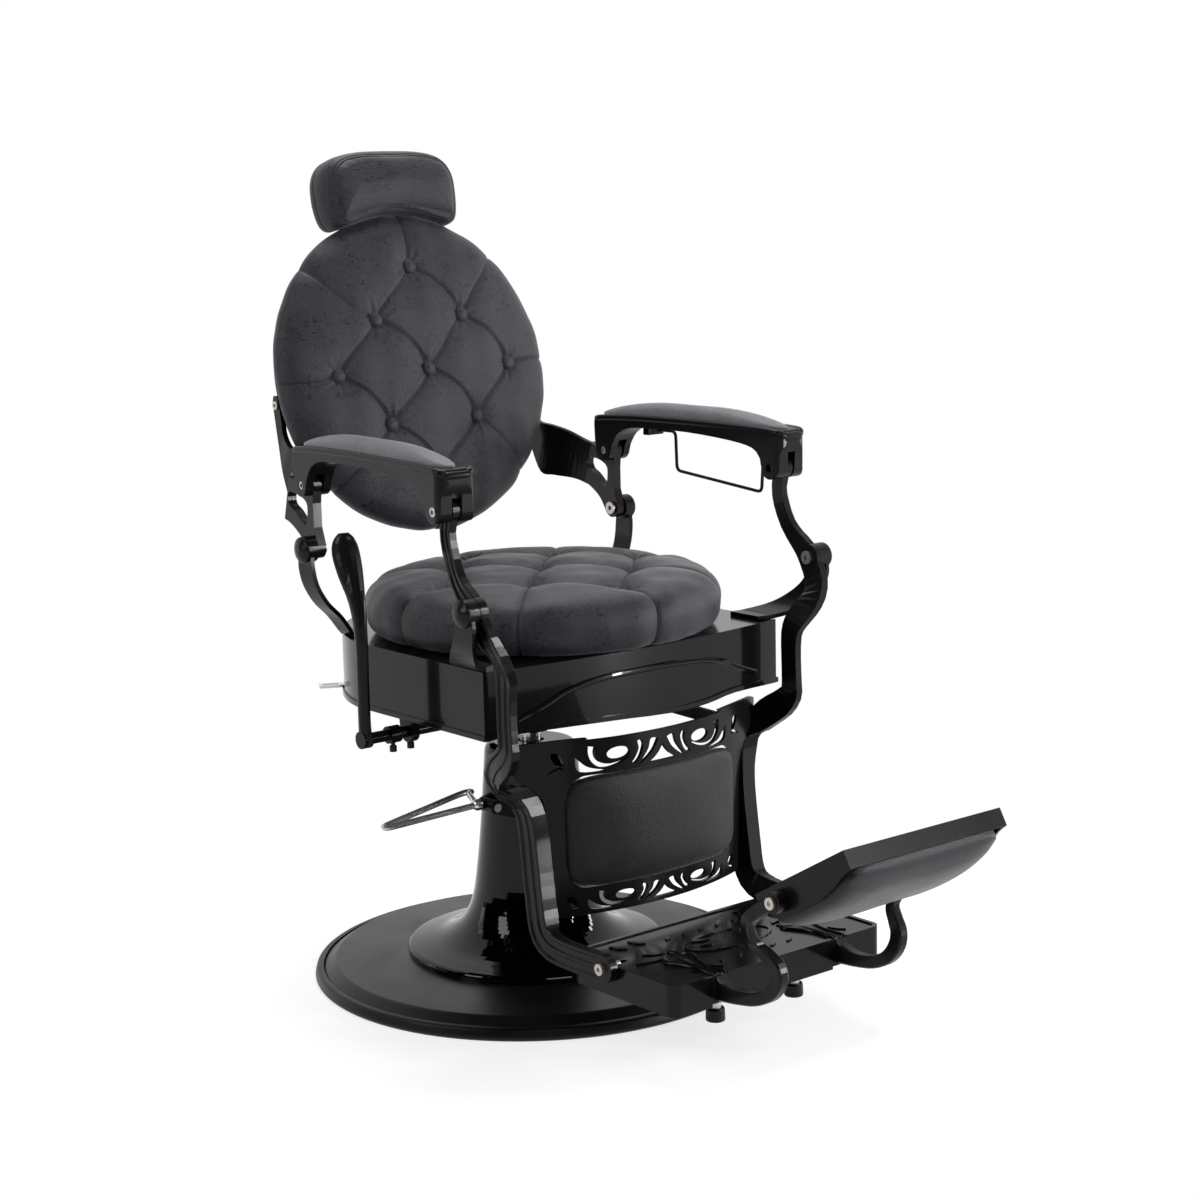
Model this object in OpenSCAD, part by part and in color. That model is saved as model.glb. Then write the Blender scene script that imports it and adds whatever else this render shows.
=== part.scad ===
/* [Base] */
// Diameter of the base over its rubber ring
base_d = 650; // [560:5:760]
// Height of the rubber ring above the floor
ring_h = 18; // [14:1:26]
// Width of the rubber ring seen from above
ring_w = 12.5; // [8:0.5:20]
// Height of the cast disc where the pump cover stands
disc_h = 33; // [28:1:45]
// Diameter of the pump cover at its foot
cover_foot_d = 376; // [320:4:420]
// Diameter of the pump cover at its top
cover_top_d = 134; // [120:2:150]
// Height of the pump cover's top above the floor
cover_h = 342; // [300:2:350]
// Wall of the pump cover
cover_wall = 5; // [3:0.5:8]

/* [Pump] */
// Diameter of the lifting ram
ram_d = 32; // [28:1:44]
// Outer diameter of the pump cylinder
cylinder_d = 92; // [80:1:100]
// Length of the foot pedal's loop from its eye to its tip
pedal_l = 150; // [110:5:180]
// Thickness of the pedal's bent rod
pedal_rod = 9; // [7:0.5:11]
// Height of the pedal's pivot above the floor
pedal_z = 268; // [240:2:280]

/* [Seat] */
// Width of the seat tray
tray_w = 524; // [480:4:560]
// Height of the tray's top above the floor
tray_z = 516; // [500:1:540]
// Depth of the tray's skirt
skirt_h = 92; // [80:1:100]
// Wall of the tray's skirt
skirt_wall = 5; // [3:0.5:8]
// Distance from the lift axis to the tray's front corners
tray_front = 243; // [220:1:270]
// How far the front apron bows out between its corners
apron_bow = 25; // [10:1:40]
// Diameter of the seat cushion
seat_d = 502; // [440:2:510]
// Height of the seat cushion
seat_h = 90; // [70:1:100]
// Distance from the lift axis forward to the cushion's centre
seat_fwd = 40; // [20:1:50]

/* [Back] */
// Diameter of the back cushion
back_d = 474; // [420:2:480]
// Height of the back cushion's centre above the floor
back_z = 862; // [840:1:880]
// Distance from the lift axis back to the back cushion's centre
back_y = 262; // [255:1:290]
// Lean of the back from upright
back_tilt = 12; // [6:0.5:16]
// Width of the headrest
head_w = 238; // [200:2:270]
// Height of the headrest
head_h = 117; // [90:1:130]
// Thickness of the headrest
head_t = 62; // [45:1:75]

/* [Side levers and arms] */
// Distance from the middle to each front lever's centre
front_x = 297; // [284:1:310]
// Distance from the middle to each rear lever's centre
rear_x = 273; // [266:1:285]
// Front pivot of the leg levers, back from the lift axis and up
front_pivot = [-280, 606];
// Joint of the leg levers and the arms
front_arm = [-227, 731];
// Joint of the back levers and the arms
rear_arm = [127, 732];
// Rear pivot of the back levers
rear_pivot = [124, 642];
// Thickness of the leg levers
lever_t = 12; // [9:0.5:14]
// Thickness of the back levers
back_lever_t = 14; // [10:0.5:16]
// Diameter of the four pivot pins on each side
pin_d = 12; // [10:0.5:14]
// Height of an arm's top edge above the floor
arm_top = 788; // [780:1:800]

/* [Leg rest and footplate] */
// Bolt that holds the footplate, back from the lift axis and up
foot_bolt = [-396, 138];
// Width of the footplate
plate_w = 375; // [345:1:375]
// Length of the footplate from back to front
plate_l = 204; // [190:1:212]
// Depth of the footplate's rim
plate_h = 42; // [34:1:48]
// Height of the footplate's top above the floor
plate_z = 142; // [138:1:150]
// Top of the leg panel above the floor
panel_top = 407; // [395:1:412]
// Bottom of the leg panel above the floor
panel_bottom = 167; // [155:1:180]
// How far the leg panel bows forward between the legs
panel_bow = 43; // [20:1:55]
// Wall of the leg panel
panel_t = 5; // [4:0.5:8]
// Pivot of the flip-over step, back from the lift axis and up
step_pivot = [-668, 278];
// Width of the flip-over step
step_w = 276; // [240:2:280]
// Length of the flip-over step from its rear edge to its tip
step_l = 175; // [150:1:190]
// Angle of the flip-over step above level
step_rise = 30; // [10:1:45]

/* [Hidden] */

$fn = 48;
fit = 0.05;          // running clearance of a pin in its bore, on the radius
gap = 0.4;           // side clearance between a lever and its bracket
open_gap = 1.5;      // clearance of the open pivot, on the radius
black = "#1d1b1c";
satin = "#2a2728";
hide = "#3c3e42";
steel = "#a8a6a4";
chrome = "#d4d6d8";
rubber = "#141414";

// ---------- helper shapes ----------

// Point on a smooth curve through b and c, with a and d as their outer neighbours
function blend(a, b, c, d, t) =
  0.5 * (2 * b + (c - a) * t + (2 * a - 5 * b + 4 * c - d) * t * t + (3 * b - a - 3 * c + d) * t * t * t);

// Smooth curve through all points p, with n steps between two points
function smooth(p, n = 5) = concat(
  [for (i = [0:len(p) - 2]) for (k = [0:n - 1])
    blend(p[max(i - 1, 0)], p[i], p[i + 1], p[min(i + 2, len(p) - 1)], k / n)],
  [p[len(p) - 1]]);

// Unit direction of curve c at point i
function heading(c, i) =
  let (a = c[max(i - 1, 0)], b = c[min(i + 1, len(c) - 1)]) (b - a) / norm(b - a);

// Curve c moved sideways by d, or by its own list of distances
function beside(c, d) = [for (i = [0:len(c) - 1])
  let (h = heading(c, i), w = is_list(d) ? d[i] : d) [c[i][0] - h[1] * w, c[i][1] + h[0] * w]];

function reversed(c) = [for (i = [len(c) - 1:-1:0]) c[i]];

// Outline of a strip of half width d along a curve
function strip(c, d) = concat(beside(c, d), reversed(beside(c, is_list(d) ? -1 * d : -d)));

// Outline points of a round corner or arc
function arc(c, r, from, to, n = 8) = [for (i = [0:n])
  let (a = from + (to - from) * i / n) [c[0] + r * cos(a), c[1] + r * sin(a)]];

// Outline of a rectangle w by h about its centre with round corners
function round_box(w, h, r, n = 5) = concat(
  arc([w / 2 - r, h / 2 - r], r, 0, 90, n), arc([-w / 2 + r, h / 2 - r], r, 90, 180, n),
  arc([-w / 2 + r, -h / 2 + r], r, 180, 270, n), arc([w / 2 - r, -h / 2 + r], r, 270, 360, n));

// Closed skin over a list of rings that all have as many points
module skin(rings) {
  n = len(rings[0]);
  m = len(rings);
  polyhedron(
    points = [for (r = rings) for (p = r) p],
    faces = concat(
      [[for (i = [0:n - 1]) i]],
      [for (j = [0:m - 2]) for (i = [0:n - 1]) [j * n + i, (j + 1) * n + i, (j + 1) * n + (i + 1) % n]],
      [for (j = [0:m - 2]) for (i = [0:n - 1]) [j * n + i, (j + 1) * n + (i + 1) % n, j * n + (i + 1) % n]],
      [[for (i = [n - 1:-1:0]) (m - 1) * n + i]]),
    convexity = 6);
}

// Round rod between two points
module rod(p, q, d) {
  v = q - p;
  translate(p)
    rotate([0, acos(v[2] / norm(v)), atan2(v[1], v[0])])
      cylinder(h = norm(v), d = d);
}

function along(a, b, t) = a + (b - a) * t;

// Path with its inner corners rounded off from a distance r before to r after each
function round_path(p, r, n = 5) = concat([p[0]],
  [for (i = [1:len(p) - 2])
    let (
      a = p[i] + r * (p[i - 1] - p[i]) / norm(p[i - 1] - p[i]),
      b = p[i] + r * (p[i + 1] - p[i]) / norm(p[i + 1] - p[i]))
    for (k = [0:n]) let (t = k / n) a * (1 - t) * (1 - t) + p[i] * 2 * t * (1 - t) + b * t * t],
  [p[len(p) - 1]]);

// Round bar bent along points p that lie near one plane, whose normal is given
module bent_bar(p, d, normal, sides = 12) {
  skin([for (i = [0:len(p) - 1])
    let (h = heading(p, i), n = cross(h, normal), u = n / norm(n), v = cross(h, u))
    [for (k = [0:sides - 1]) p[i] + d / 2 * (u * cos(360 * k / sides) + v * sin(360 * k / sides))]]);
}

// Side outline drawn in y and z, given its thickness about x
module side(x, t) {
  translate([x - t / 2, 0, 0]) rotate([90, 0, 90]) linear_extrude(t) children();
}

// Cylinder across the chair, between two x positions, at a [y, z] point
module cross_pin(x1, x2, at, d) {
  translate([min(x1, x2), at[0], at[1]]) rotate([0, 90, 0]) cylinder(h = abs(x2 - x1), d = d);
}

// Socket-head bolt across the chair with its head towards +x
module head_bolt(x, at, d, head_t, length) {
  difference() {
    union() {
      cross_pin(x, x + head_t, at, d * 1.55);
      cross_pin(x - length, x, at, d);
    }
    translate([x + head_t / 2, at[0], at[1]]) rotate([0, 90, 0]) cylinder(h = head_t, d = d * 0.7, $fn = 6);
  }
}

module both_sides() {
  children();
  mirror([1, 0, 0]) children();
}

// ---------- base and pump ----------

base_r = base_d / 2;
disc_r = base_r - ring_w;
lip_h = 6;
foot_r = cover_foot_d / 2;
top_r = cover_top_d / 2;

module base_ring() {
  color(rubber)
    rotate_extrude($fn = 96)
      polygon(concat(
        [[base_r - 36, 0], [base_r - 4, 0]],
        arc([base_r - 6, 6], 6, -60, 20, 4),
        arc([disc_r + 5, ring_h - 6], 6, 30, 90, 4),
        [[disc_r, ring_h], [disc_r, lip_h], [base_r - 36, lip_h]]));
}

module base_disc() {
  color(black)
    rotate_extrude($fn = 96)
      polygon(concat(
        [[0, disc_h], [0, disc_h - 13], [disc_r - 34, disc_h - 19], [disc_r - 26, lip_h]],
        [[disc_r - gap, lip_h]],
        [[disc_r - gap, ring_h - 3], [disc_r - 3, ring_h - 1], [disc_r - 16, ring_h + 7.5]],
        arc([disc_r - 21, ring_h + 1], 8, 60, 92, 4),
        [[foot_r + 4, disc_h], [0, disc_h]]));
}

// Outer curve of the pump cover, from its foot up
function cover_curve() = smooth([
  [foot_r, disc_h + 5], [foot_r - 3, disc_h + 10], [foot_r - 18, disc_h + 13.5], [foot_r - 48, disc_h + 21],
  [top_r + 47, disc_h + 36], [top_r + 32, disc_h + 56], [top_r + 23, disc_h + 82],
  [top_r + 16, disc_h + 128],
  [top_r + 9, cover_h - 116], [top_r + 2, cover_h - 30], [top_r, cover_h - 10], [top_r - 5, cover_h - 2],
  [top_r - 12, cover_h]], 4);

module cover_outer(grow = 0) {
  rotate_extrude($fn = 96)
    polygon(concat([[0, disc_h], [foot_r, disc_h]], beside(cover_curve(), -grow), [[0, cover_h + grow]]));
}

module pump_cover() {
  inner = beside(cover_curve(), cover_wall);
  color("#0b0b0d")
    difference() {
      cover_outer();
      rotate_extrude($fn = 96)
        polygon(concat(
          [[0, disc_h - 1], [foot_r - cover_wall, disc_h - 1]],
          [for (p = inner) if (p[1] > disc_h && p[1] < cover_h - cover_wall) p],
          [[0, cover_h - cover_wall]]));
      cylinder(h = cover_h + 1, d = ram_d + 8);
    }
}

module pump_cylinder() {
  color(satin)
    difference() {
      union() {
        translate([0, 0, disc_h]) cylinder(h = 12, d = cylinder_d + 60);
        translate([0, 0, disc_h]) cylinder(h = cover_h - cover_wall - 3 - disc_h, d = cylinder_d);
      }
      translate([0, 0, disc_h + 8]) cylinder(h = cover_h, d = ram_d + 2 * fit);
      for (a = [45:90:315])
        rotate(a) translate([cylinder_d / 2 + 16, 0, disc_h - 1]) cylinder(h = 14, d = 11);
    }
}

hub_z = cover_h + 16;
ram_top = tray_z - 40;

module pump_ram() {
  color(chrome)
    union() {
      translate([0, 0, disc_h + 28]) cylinder(h = ram_top - disc_h - 28, d = ram_d);
    }
}

// ---------- foot pedal ----------

pedal_y = -33;
pedal_pivot = [-top_r - 35, pedal_z];
hub_w = 22;
ear_t = 6;

module across_hub() {
  translate([pedal_pivot[0], pedal_y, pedal_z]) rotate([90, 0, 0]) children();
}

module pedal_bracket() {
  color(satin)
    difference() {
      for (s = [-1, 1])
        translate([0, pedal_y + s * (hub_w / 2 + gap + ear_t / 2) + ear_t / 2, 0])
          rotate([90, 0, 0])
            linear_extrude(ear_t)
              polygon(concat(
                [[-40, pedal_z - 30]], arc(pedal_pivot, 10, -100, -260, 8), [[-40, pedal_z + 26]]));
      cover_outer(0.25);
      across_hub() cylinder(h = 80, d = 8, center = true);
    }
}

module pedal_pin() {
  reach = hub_w / 2 + gap + ear_t;
  color(steel)
    across_hub()
      union() {
        cylinder(h = 2 * reach, d = 8, center = true);
        for (s = [-1, 1]) translate([0, 0, s * (reach + 1.5)]) cylinder(h = 3, d = 12, center = true);
      }
}

pedal_eye = [pedal_pivot[0] - 21, pedal_y, pedal_z + 5];
pedal_tip = pedal_eye + [-pedal_l, 6, -6];
pedal_bend = pedal_eye + [17, 47, 8];

module pedal_hub() {
  color(black)
    difference() {
      union() {
        across_hub() cylinder(h = hub_w, d = 20, center = true);
        rod([pedal_pivot[0], pedal_y, pedal_z], pedal_eye + [3, 0, 0], 12);
      }
      across_hub() cylinder(h = 60, d = 8 + 2 * fit, center = true);
      translate(pedal_eye) sphere(d = 17);
    }
}

module pump_pedal() {
  color(chrome)
    union() {
      translate(pedal_eye) sphere(d = 16.8);
      bent_bar(smooth(concat(
        [for (t = [0, 0.5, 0.95]) along(pedal_eye, pedal_tip, t)], [pedal_tip + [-3, 4, 0.5]],
        [for (t = [0.05, 0.5, 0.9]) along(pedal_tip + [0, 8, 1], pedal_bend, t)], [pedal_bend + [4, -3, -1]],
        [for (t = [0.2, 0.6, 1]) along(pedal_bend, pedal_eye + [-1, 5, 1], t)]), 4), pedal_rod, [0, 0, 1]);
    }
}

// ---------- seat frame ----------

rear_r = tray_w / 2 + 4;
bow_r = (pow(tray_w / 2, 2) + pow(apron_bow, 2)) / (2 * apron_bow);
skirt_z = tray_z - skirt_h;
plate_t = 6;

// Plan of the tray, drawn in by a distance
module tray_plan(inset = 0) {
  half = tray_w / 2 - inset;
  intersection() {
    union() {
      circle(r = rear_r - inset, $fn = 96);
      translate([-half, -tray_front - apron_bow]) square([2 * half, tray_front + apron_bow + 46]);
    }
    translate([0, bow_r - tray_front - apron_bow]) circle(r = bow_r - inset, $fn = 180);
    translate([-half, -400]) square([2 * half, 800]);
  }
}

module seat_mount() {
  color(satin)
    difference() {
      union() {
        translate([0, 0, hub_z]) cylinder(h = ram_top + 14 - hub_z, d = ram_d + 26);
        translate([0, 0, tray_z - plate_t - 8]) cylinder(h = 8, d = 190);
        for (a = [45:90:315]) rotate(a)
          translate([0, 4, 0]) rotate([90, 0, 0]) linear_extrude(8)
            polygon([
              [10, hub_z + 70], [38, hub_z + 84], [90, tray_z - plate_t - 8], [10, tray_z - plate_t - 8]]);
      }
      translate([0, 0, hub_z - 1]) cylinder(h = ram_top + 1 - hub_z, d = ram_d + 2 * fit);
    }
}

// Lower edge of the front apron across the chair, as [x, z]
function apron_wave() = let (w = tray_w / 2, z = skirt_z) concat(
  [[-w - 10, z]],
  smooth([[-w + 4, z], [-0.8 * w, z + 4], [-0.32 * w, z + 1], [0.15 * w, z - 6], [0.42 * w, z - 4],
    [0.63 * w, z + 2], [w - 4, z]], 3),
  [[w + 10, z]]);

// Everything within a height over the skirt's lower edge
module edge_band(h) {
  wave = apron_wave();
  union() {
    rotate([90, 0, 0]) linear_extrude(400)
      polygon(concat([for (q = wave) [q[0], q[1] + h]], reversed(wave)));
    translate([-400, -1, skirt_z]) cube([800, 401, h]);
  }
}

module seat_tray() {
  color(black)
    difference() {
      union() {
        intersection() {
          translate([0, 0, skirt_z - 10]) linear_extrude(skirt_h + 10) tray_plan(0);
          edge_band(skirt_h + 20);
        }
        intersection() {
          translate([0, 0, skirt_z - 10]) linear_extrude(40) tray_plan(-2.5);
          edge_band(7);
        }
      }
      translate([0, 0, skirt_z - 11]) linear_extrude(skirt_h - plate_t + 11) tray_plan(skirt_wall);
      for (a = [45:90:315]) rotate(a) translate([78, 0, tray_z - 20]) cylinder(h = 40, d = 9);
      tab_frame() translate([10, -9.3, -0.3]) cube([14.5, 18.6, 4.6]);
    }
}

// Raised bead pressed into the front apron, a wide arch of half-round section
module apron_bead() {
  z = skirt_z;
  half = [[214, z + 22], [171, z + 37], [142, z + 50], [94, z + 59.5], [33, z + 62.5]];
  c = smooth(concat([for (q = half) [-q[0], q[1]]], reversed(half)), 4);
  color(black)
    skin([for (i = [0:len(c) - 1])
      let (h = heading(c, i))
      [for (q = [[4.5, 0.1], [2.6, 1.8], [0, 2.5], [-2.6, 1.8], [-4.5, 0.1]])
        let (x = c[i][0] - h[1] * q[0])
        [x, bow_r - tray_front - apron_bow - sqrt(bow_r * bow_r - x * x) - q[1], c[i][1] + h[0] * q[0]]]]);
}

board_t = 10;

module seat_board() {
  color("#6b4a2c")
    translate([0, -seat_fwd, tray_z]) cylinder(h = board_t, d = seat_d - 76, $fn = 96);
}

// Sewn points of a round cushion: a grid turned by 45 degrees, with its middle point at the centre
function tufts(step) = [[0, 0], for (i = [-1, 1]) for (j = [-1, 1]) [i * step, j * step],
  for (i = [-2, 2]) [i * step, 0], for (j = [-2, 2]) [0, j * step]];

seat_step = seat_d * 0.179;

function pull(p, tufts, depth, reach) =
  max([for (t = tufts) depth * exp(-pow(norm(p - t) / reach, 2))]);

// Round cushion about z: crown over its edge, drawn-in sides, sewn tufts
module round_cushion(r, h, crown, step, depth, reach, rings = 13, steps = 52) {
  base = [for (a = [0:steps - 1]) 360 * a / steps];
  side_curve = [[-1, -0.16], [-0.6, -0.03], [0, 0], [0.5, -0.04], [0.85, -0.15]];
  skin(concat(
    [[for (a = base) [(r - h * 0.3) * cos(a), (r - h * 0.3) * sin(a), 0]]],
    [for (c = side_curve) [for (a = base)
      let (q = r + c[1] * h, z = h / 2 * (1 + c[0]) * 0.98)
      [q * cos(a), q * sin(a), z]]],
    [for (k = [0:rings - 1])
      let (s = (rings - k) / (rings + 0.6), q = (r - 0.30 * h) * s)
      [for (a = base)
        let (
          p = [q * cos(a), q * sin(a)],
          sink = pull(p, tufts(step), depth, reach) + seam(p, step),
          z = h + crown * (1 - s * s) - sink * min(1, 3 * (1 - s) + 0.25))
        [p[0], p[1], z]]]));
}

// Depth of a sewn channel along the lines where q is a multiple of a step
function channel_at(q, step, width) = max([for (k = [-1:1]) exp(-pow((q - k * step) / width, 2))]);

// Shallow channels along the diagonals between the sewn points
function seam(p, step) =
  5 * max(channel_at(p[0] + p[1], 2 * step, 15), channel_at(p[0] - p[1], 2 * step, 15));

module seat_cushion() {
  color(hide)
    translate([0, -seat_fwd, tray_z + board_t + 0.3])
      round_cushion(seat_d / 2, seat_h - board_t - 12, 12, seat_step, 12, 34);
}

// ---------- brackets that carry the side levers ----------

front_boss_x = front_x + lever_t / 2 + gap;
rear_boss_x = rear_x + back_lever_t / 2 + gap;
boss_w = 20;
boss_d = 37;

// Curved strap from a pivot boss down to a flange on the tray: stations of [x, z, front y, rear y]
module strap(stations, t) {
  line = [for (s = stations) [s[0], s[1]]];
  out = beside(line, t / 2);
  inn = beside(line, -t / 2);
  skin([for (i = [0:len(stations) - 1]) [
    [inn[i][0], stations[i][3], inn[i][1]], [out[i][0], stations[i][3], out[i][1]],
    [out[i][0], stations[i][2], out[i][1]], [inn[i][0], stations[i][2], inn[i][1]]]]);
}

// Round boss with a low dome on its outer end
module dome_boss(x, at) {
  r = boss_d / 2;
  translate([x, at[0], at[1]]) rotate([0, 90, 0])
    rotate_extrude()
      polygon(concat(
        [[0, 0], [r, 0], [r, boss_w - 4]], arc([r - 4, boss_w - 4], 4, 15, 65, 3),
        [[r * 0.5, boss_w + 2.6], [r * 0.25, boss_w + 3.7], [0, boss_w + 4]]));
}

flange_x = tray_w / 2 - 26;
foot_t = 6;

module front_bracket() {
  p = front_pivot;
  x = front_boss_x + boss_w / 2;
  line = concat(smooth([
    [x, p[1] - 6, p[0] - 16, p[0] + 16], [x, p[1] - 24, p[0] - 17, p[0] + 21],
    [x - 4, p[1] - 45, p[0] - 10, p[0] + 34], [x - 15, p[1] - 64, p[0] + 2, p[0] + 55],
    [x - 31, p[1] - 78, p[0] + 18, p[0] + 78],
    [flange_x + 18, tray_z + foot_t / 2, p[0] + 40, p[0] + 102]], 4),
    [[flange_x, tray_z + foot_t / 2, p[0] + 46, p[0] + 104]]);
  color(satin)
    difference() {
      union() {
        dome_boss(front_boss_x, p);
        strap(line, foot_t);
      }
      cross_pin(front_boss_x - 5, front_boss_x + boss_w - 5, p, pin_d);
    }
}

module rear_bracket() {
  p = rear_pivot;
  x = rear_boss_x + boss_w / 2;
  line = concat(smooth([
    [x, p[1] - 6, p[0] - 15, p[0] + 15], [x, p[1] - 27, p[0] - 17, p[0] + 17],
    [x - 5, p[1] - 52, p[0] - 19, p[0] + 15], [x - 18, p[1] - 77, p[0] - 23, p[0] + 11],
    [x - 36, p[1] - 98, p[0] - 28, p[0] + 5], [flange_x + 4, tray_z + foot_t / 2, p[0] - 34, p[0] - 4]], 4),
    [[flange_x - 16, tray_z + foot_t / 2, p[0] - 36, p[0] - 6]]);
  color(satin)
    difference() {
      union() {
        dome_boss(rear_boss_x, p);
        strap(line, foot_t);
      }
      cross_pin(rear_boss_x - 5, rear_boss_x + boss_w - 5, p, pin_d);
    }
}

module front_bracket_right() { mirror([1, 0, 0]) front_bracket(); }
module front_bracket_left() { front_bracket(); }
module rear_bracket_right() { mirror([1, 0, 0]) rear_bracket(); }
module rear_bracket_left() { rear_bracket(); }

// Pins of the front and rear pivots, fixed in the brackets, with heads inside the levers
module pivot_bolt(x, t, boss_x, at) {
  difference() {
    union() {
      cross_pin(x - t / 2 - gap, boss_x + boss_w - 5, at, pin_d);
      cross_pin(x - t / 2 - gap - 4, x - t / 2 - gap, at, pin_d * 1.6);
    }
    translate([x - t / 2 - gap - 2, at[0], at[1]]) rotate([0, 90, 0])
      cylinder(h = 6, d = 8, center = true, $fn = 6);
  }
}

module pivot_bolts() {
  color(steel)
    both_sides() {
      pivot_bolt(front_x, lever_t, front_boss_x, front_pivot);
      pivot_bolt(rear_x, back_lever_t, rear_boss_x, rear_pivot);
    }
}

// ---------- recline handle, shaft and lock ----------

shaft_at = [-50, 404];
shaft_d = 16;
handle_x = 320;
lock_x = 153;
hanger_x = [-tray_w / 2 + 16, -110];
hanger_t = 12;

module hanger_plate(x) {
  side(x, hanger_t)
    difference() {
      polygon(concat(
        [[shaft_at[0] + 24, tray_z - plate_t], [shaft_at[0] - 24, tray_z - plate_t]],
        arc(shaft_at, 15, 190, 350, 10)));
      translate(shaft_at) circle(d = shaft_d + 2 * fit);
    }
}

module shaft_hangers() {
  color(black)
    difference() {
      for (x = hanger_x) hanger_plate(x);
      screw_hole(hanger_x[0]);
    }
}

module handle_shaft() {
  color(satin)
    difference() {
      union() {
        cross_pin(-handle_x + 6, 84, shaft_at, shaft_d);
        cross_pin(84, lock_x - 22, shaft_at, 22);
        cross_pin(collar_x - 9, collar_x + 9, shaft_at, 24);
      }
      screw_hole(collar_x);
    }
}

// Paddle lever: narrow rounded stem that broadens and turns into a flattened paddle
module recline_handle() {
  line = smooth([[-51.5, 394, 9, 8, 0], [-51, 404, 12, 8, 0], [-50, 430, 11, 8, 0], [-50, 480, 10.5, 8, 0],
    [-50, 540, 10.5, 8, 10], [-44, 590, 13, 7.5, 25], [-30, 630, 18, 7, 40], [-20, 658, 19, 7, 45],
    [-18, 674, 15, 6.5, 45], [-17, 683, 7, 4, 45]], 3);
  yz = [for (s = line) [s[0], s[1]]];
  color(satin)
    difference() {
      union() {
        skin([for (i = [0:len(line) - 1])
          let (h = heading(yz, i), n = [-h[1], h[0]], c = cos(line[i][4]), s = sin(line[i][4]))
          [for (a = [0:22.5:337.5])
            let (
              w = line[i][2] * cos(a),
              t = line[i][3] * sin(a) * (1 - 0.2 * pow(cos(a), 2)),
              m = w * c - t * s)
            [-handle_x + w * s + t * c, yz[i][0] + n[0] * m, yz[i][1] + n[1] * m]]]);
        cross_pin(-handle_x - 8, -handle_x + 8, shaft_at, 24);
      }
      cross_pin(-handle_x + 6, -handle_x + 40, shaft_at, 40);
    }
}

// Screw pointing up into the underside of a part that hangs on the shaft
module set_screw(x) {
  translate([x, shaft_at[0], 0])
    union() {
      translate([0, 0, shaft_at[1] - 24]) cylinder(h = 8, d = 10);
      translate([0, 0, shaft_at[1] - 16]) cylinder(h = 6, d = 6);
    }
}

module screw_hole(x) {
  translate([x, shaft_at[0], shaft_at[1] - 30]) cylinder(h = 20, d = 6);
}

collar_x = -tray_w / 2 - 13;

module collar_screw() {
  color(black) set_screw(collar_x);
}

module hanger_screw() {
  color(black) set_screw(hanger_x[0]);
}

lock_pin_at = [-244, 386];
lock_at = [-50, 392];
lock_h = 18;
lock_t = 8;

module lock_clamp() {
  color(satin)
    for (s = [-1, 1])
      side(lock_x + s * (lock_t / 2 + 0.5 + 6), 12)
        polygon(concat(
          [[lock_at[0] + 20, tray_z - plate_t], [lock_at[0] - 20, tray_z - plate_t]],
          arc([lock_at[0], lock_at[1] - 2], 20, 180, 360, 10)));
}

module lock_bar() {
  v = lock_at - lock_pin_at;
  color(black)
    side(lock_x, lock_t)
      difference() {
        translate(lock_pin_at) rotate(atan2(v[1], v[0]))
          union() {
            circle(d = lock_h + 4);
            translate([0, -lock_h / 2]) square([340, lock_h]);
            translate([340, 0]) circle(d = lock_h);
          }
        translate(lock_pin_at) circle(d = 8 + 2 * fit);
      }
}

module lock_pin() {
  color(steel)
    union() {
      cross_pin(lock_x - 15, lock_x + 15, lock_pin_at, 8);
      cross_pin(lock_x + 12, lock_x + 15, lock_pin_at, 13);
    }
}

// Slotted steel tab that sticks out through the skirt at the tray's rear corner
module tab_frame() {
  reach = rear_r + 17;
  translate([-0.8057 * reach, 0.5936 * reach, skirt_z + 5.7]) rotate(-28) children();
}

module tray_tab() {
  color(chrome)
    tab_frame()
      union() {
        linear_extrude(4)
          difference() {
            translate([-19, -9]) square([48, 18]);
            translate([-14, -3]) square([22, 6]);
          }
        translate([25, -9, 0]) cube([4, 18, skirt_h - plate_t - 5.7]);
      }
}

// ---------- back ----------

back_step = (back_d / 2 - 81) / 2;
back_front = 30;     // from the back's own plane to the front edge of its cushion
back_rear = 24;      // and to its rear face
back_crown = 16;
shell_r = back_d / 2 - 18;
shell_d = 26;

// Frame of the leaning back: x across, z up along the back, -y towards the sitter
module on_back() {
  translate([0, back_y, back_z]) rotate([-back_tilt, 0, 0]) children();
}

// A [y, z] point of the back's own frame, in the chair's frame
function from_back(p) = [
  back_y + p[0] * cos(back_tilt) + p[1] * sin(back_tilt),
  back_z - p[0] * sin(back_tilt) + p[1] * cos(back_tilt)];

module back_cushion() {
  color(hide)
    on_back() translate([0, back_rear, 0]) rotate([90, 0, 0])
      round_cushion(back_d / 2, back_front + back_rear, back_crown, back_step, 14, 30, 14, 56);
}

function button_lift(t) = t[0] * t[1] == 0 ? 7 : 5.2;

module back_buttons() {
  color(hide)
    on_back()
      for (t = tufts(back_step))
        let (
          s = norm(t) / (back_d / 2 - 18),
          rise = back_front + back_crown * (1 - s * s) - 19 + button_lift(t))
          translate([t[0], -rise, t[1]]) rotate([90, 0, 0])
            intersection() {
              cylinder(h = 6, d = 23);
              translate([0, 0, -13]) sphere(r = 19);
            }
}

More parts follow.
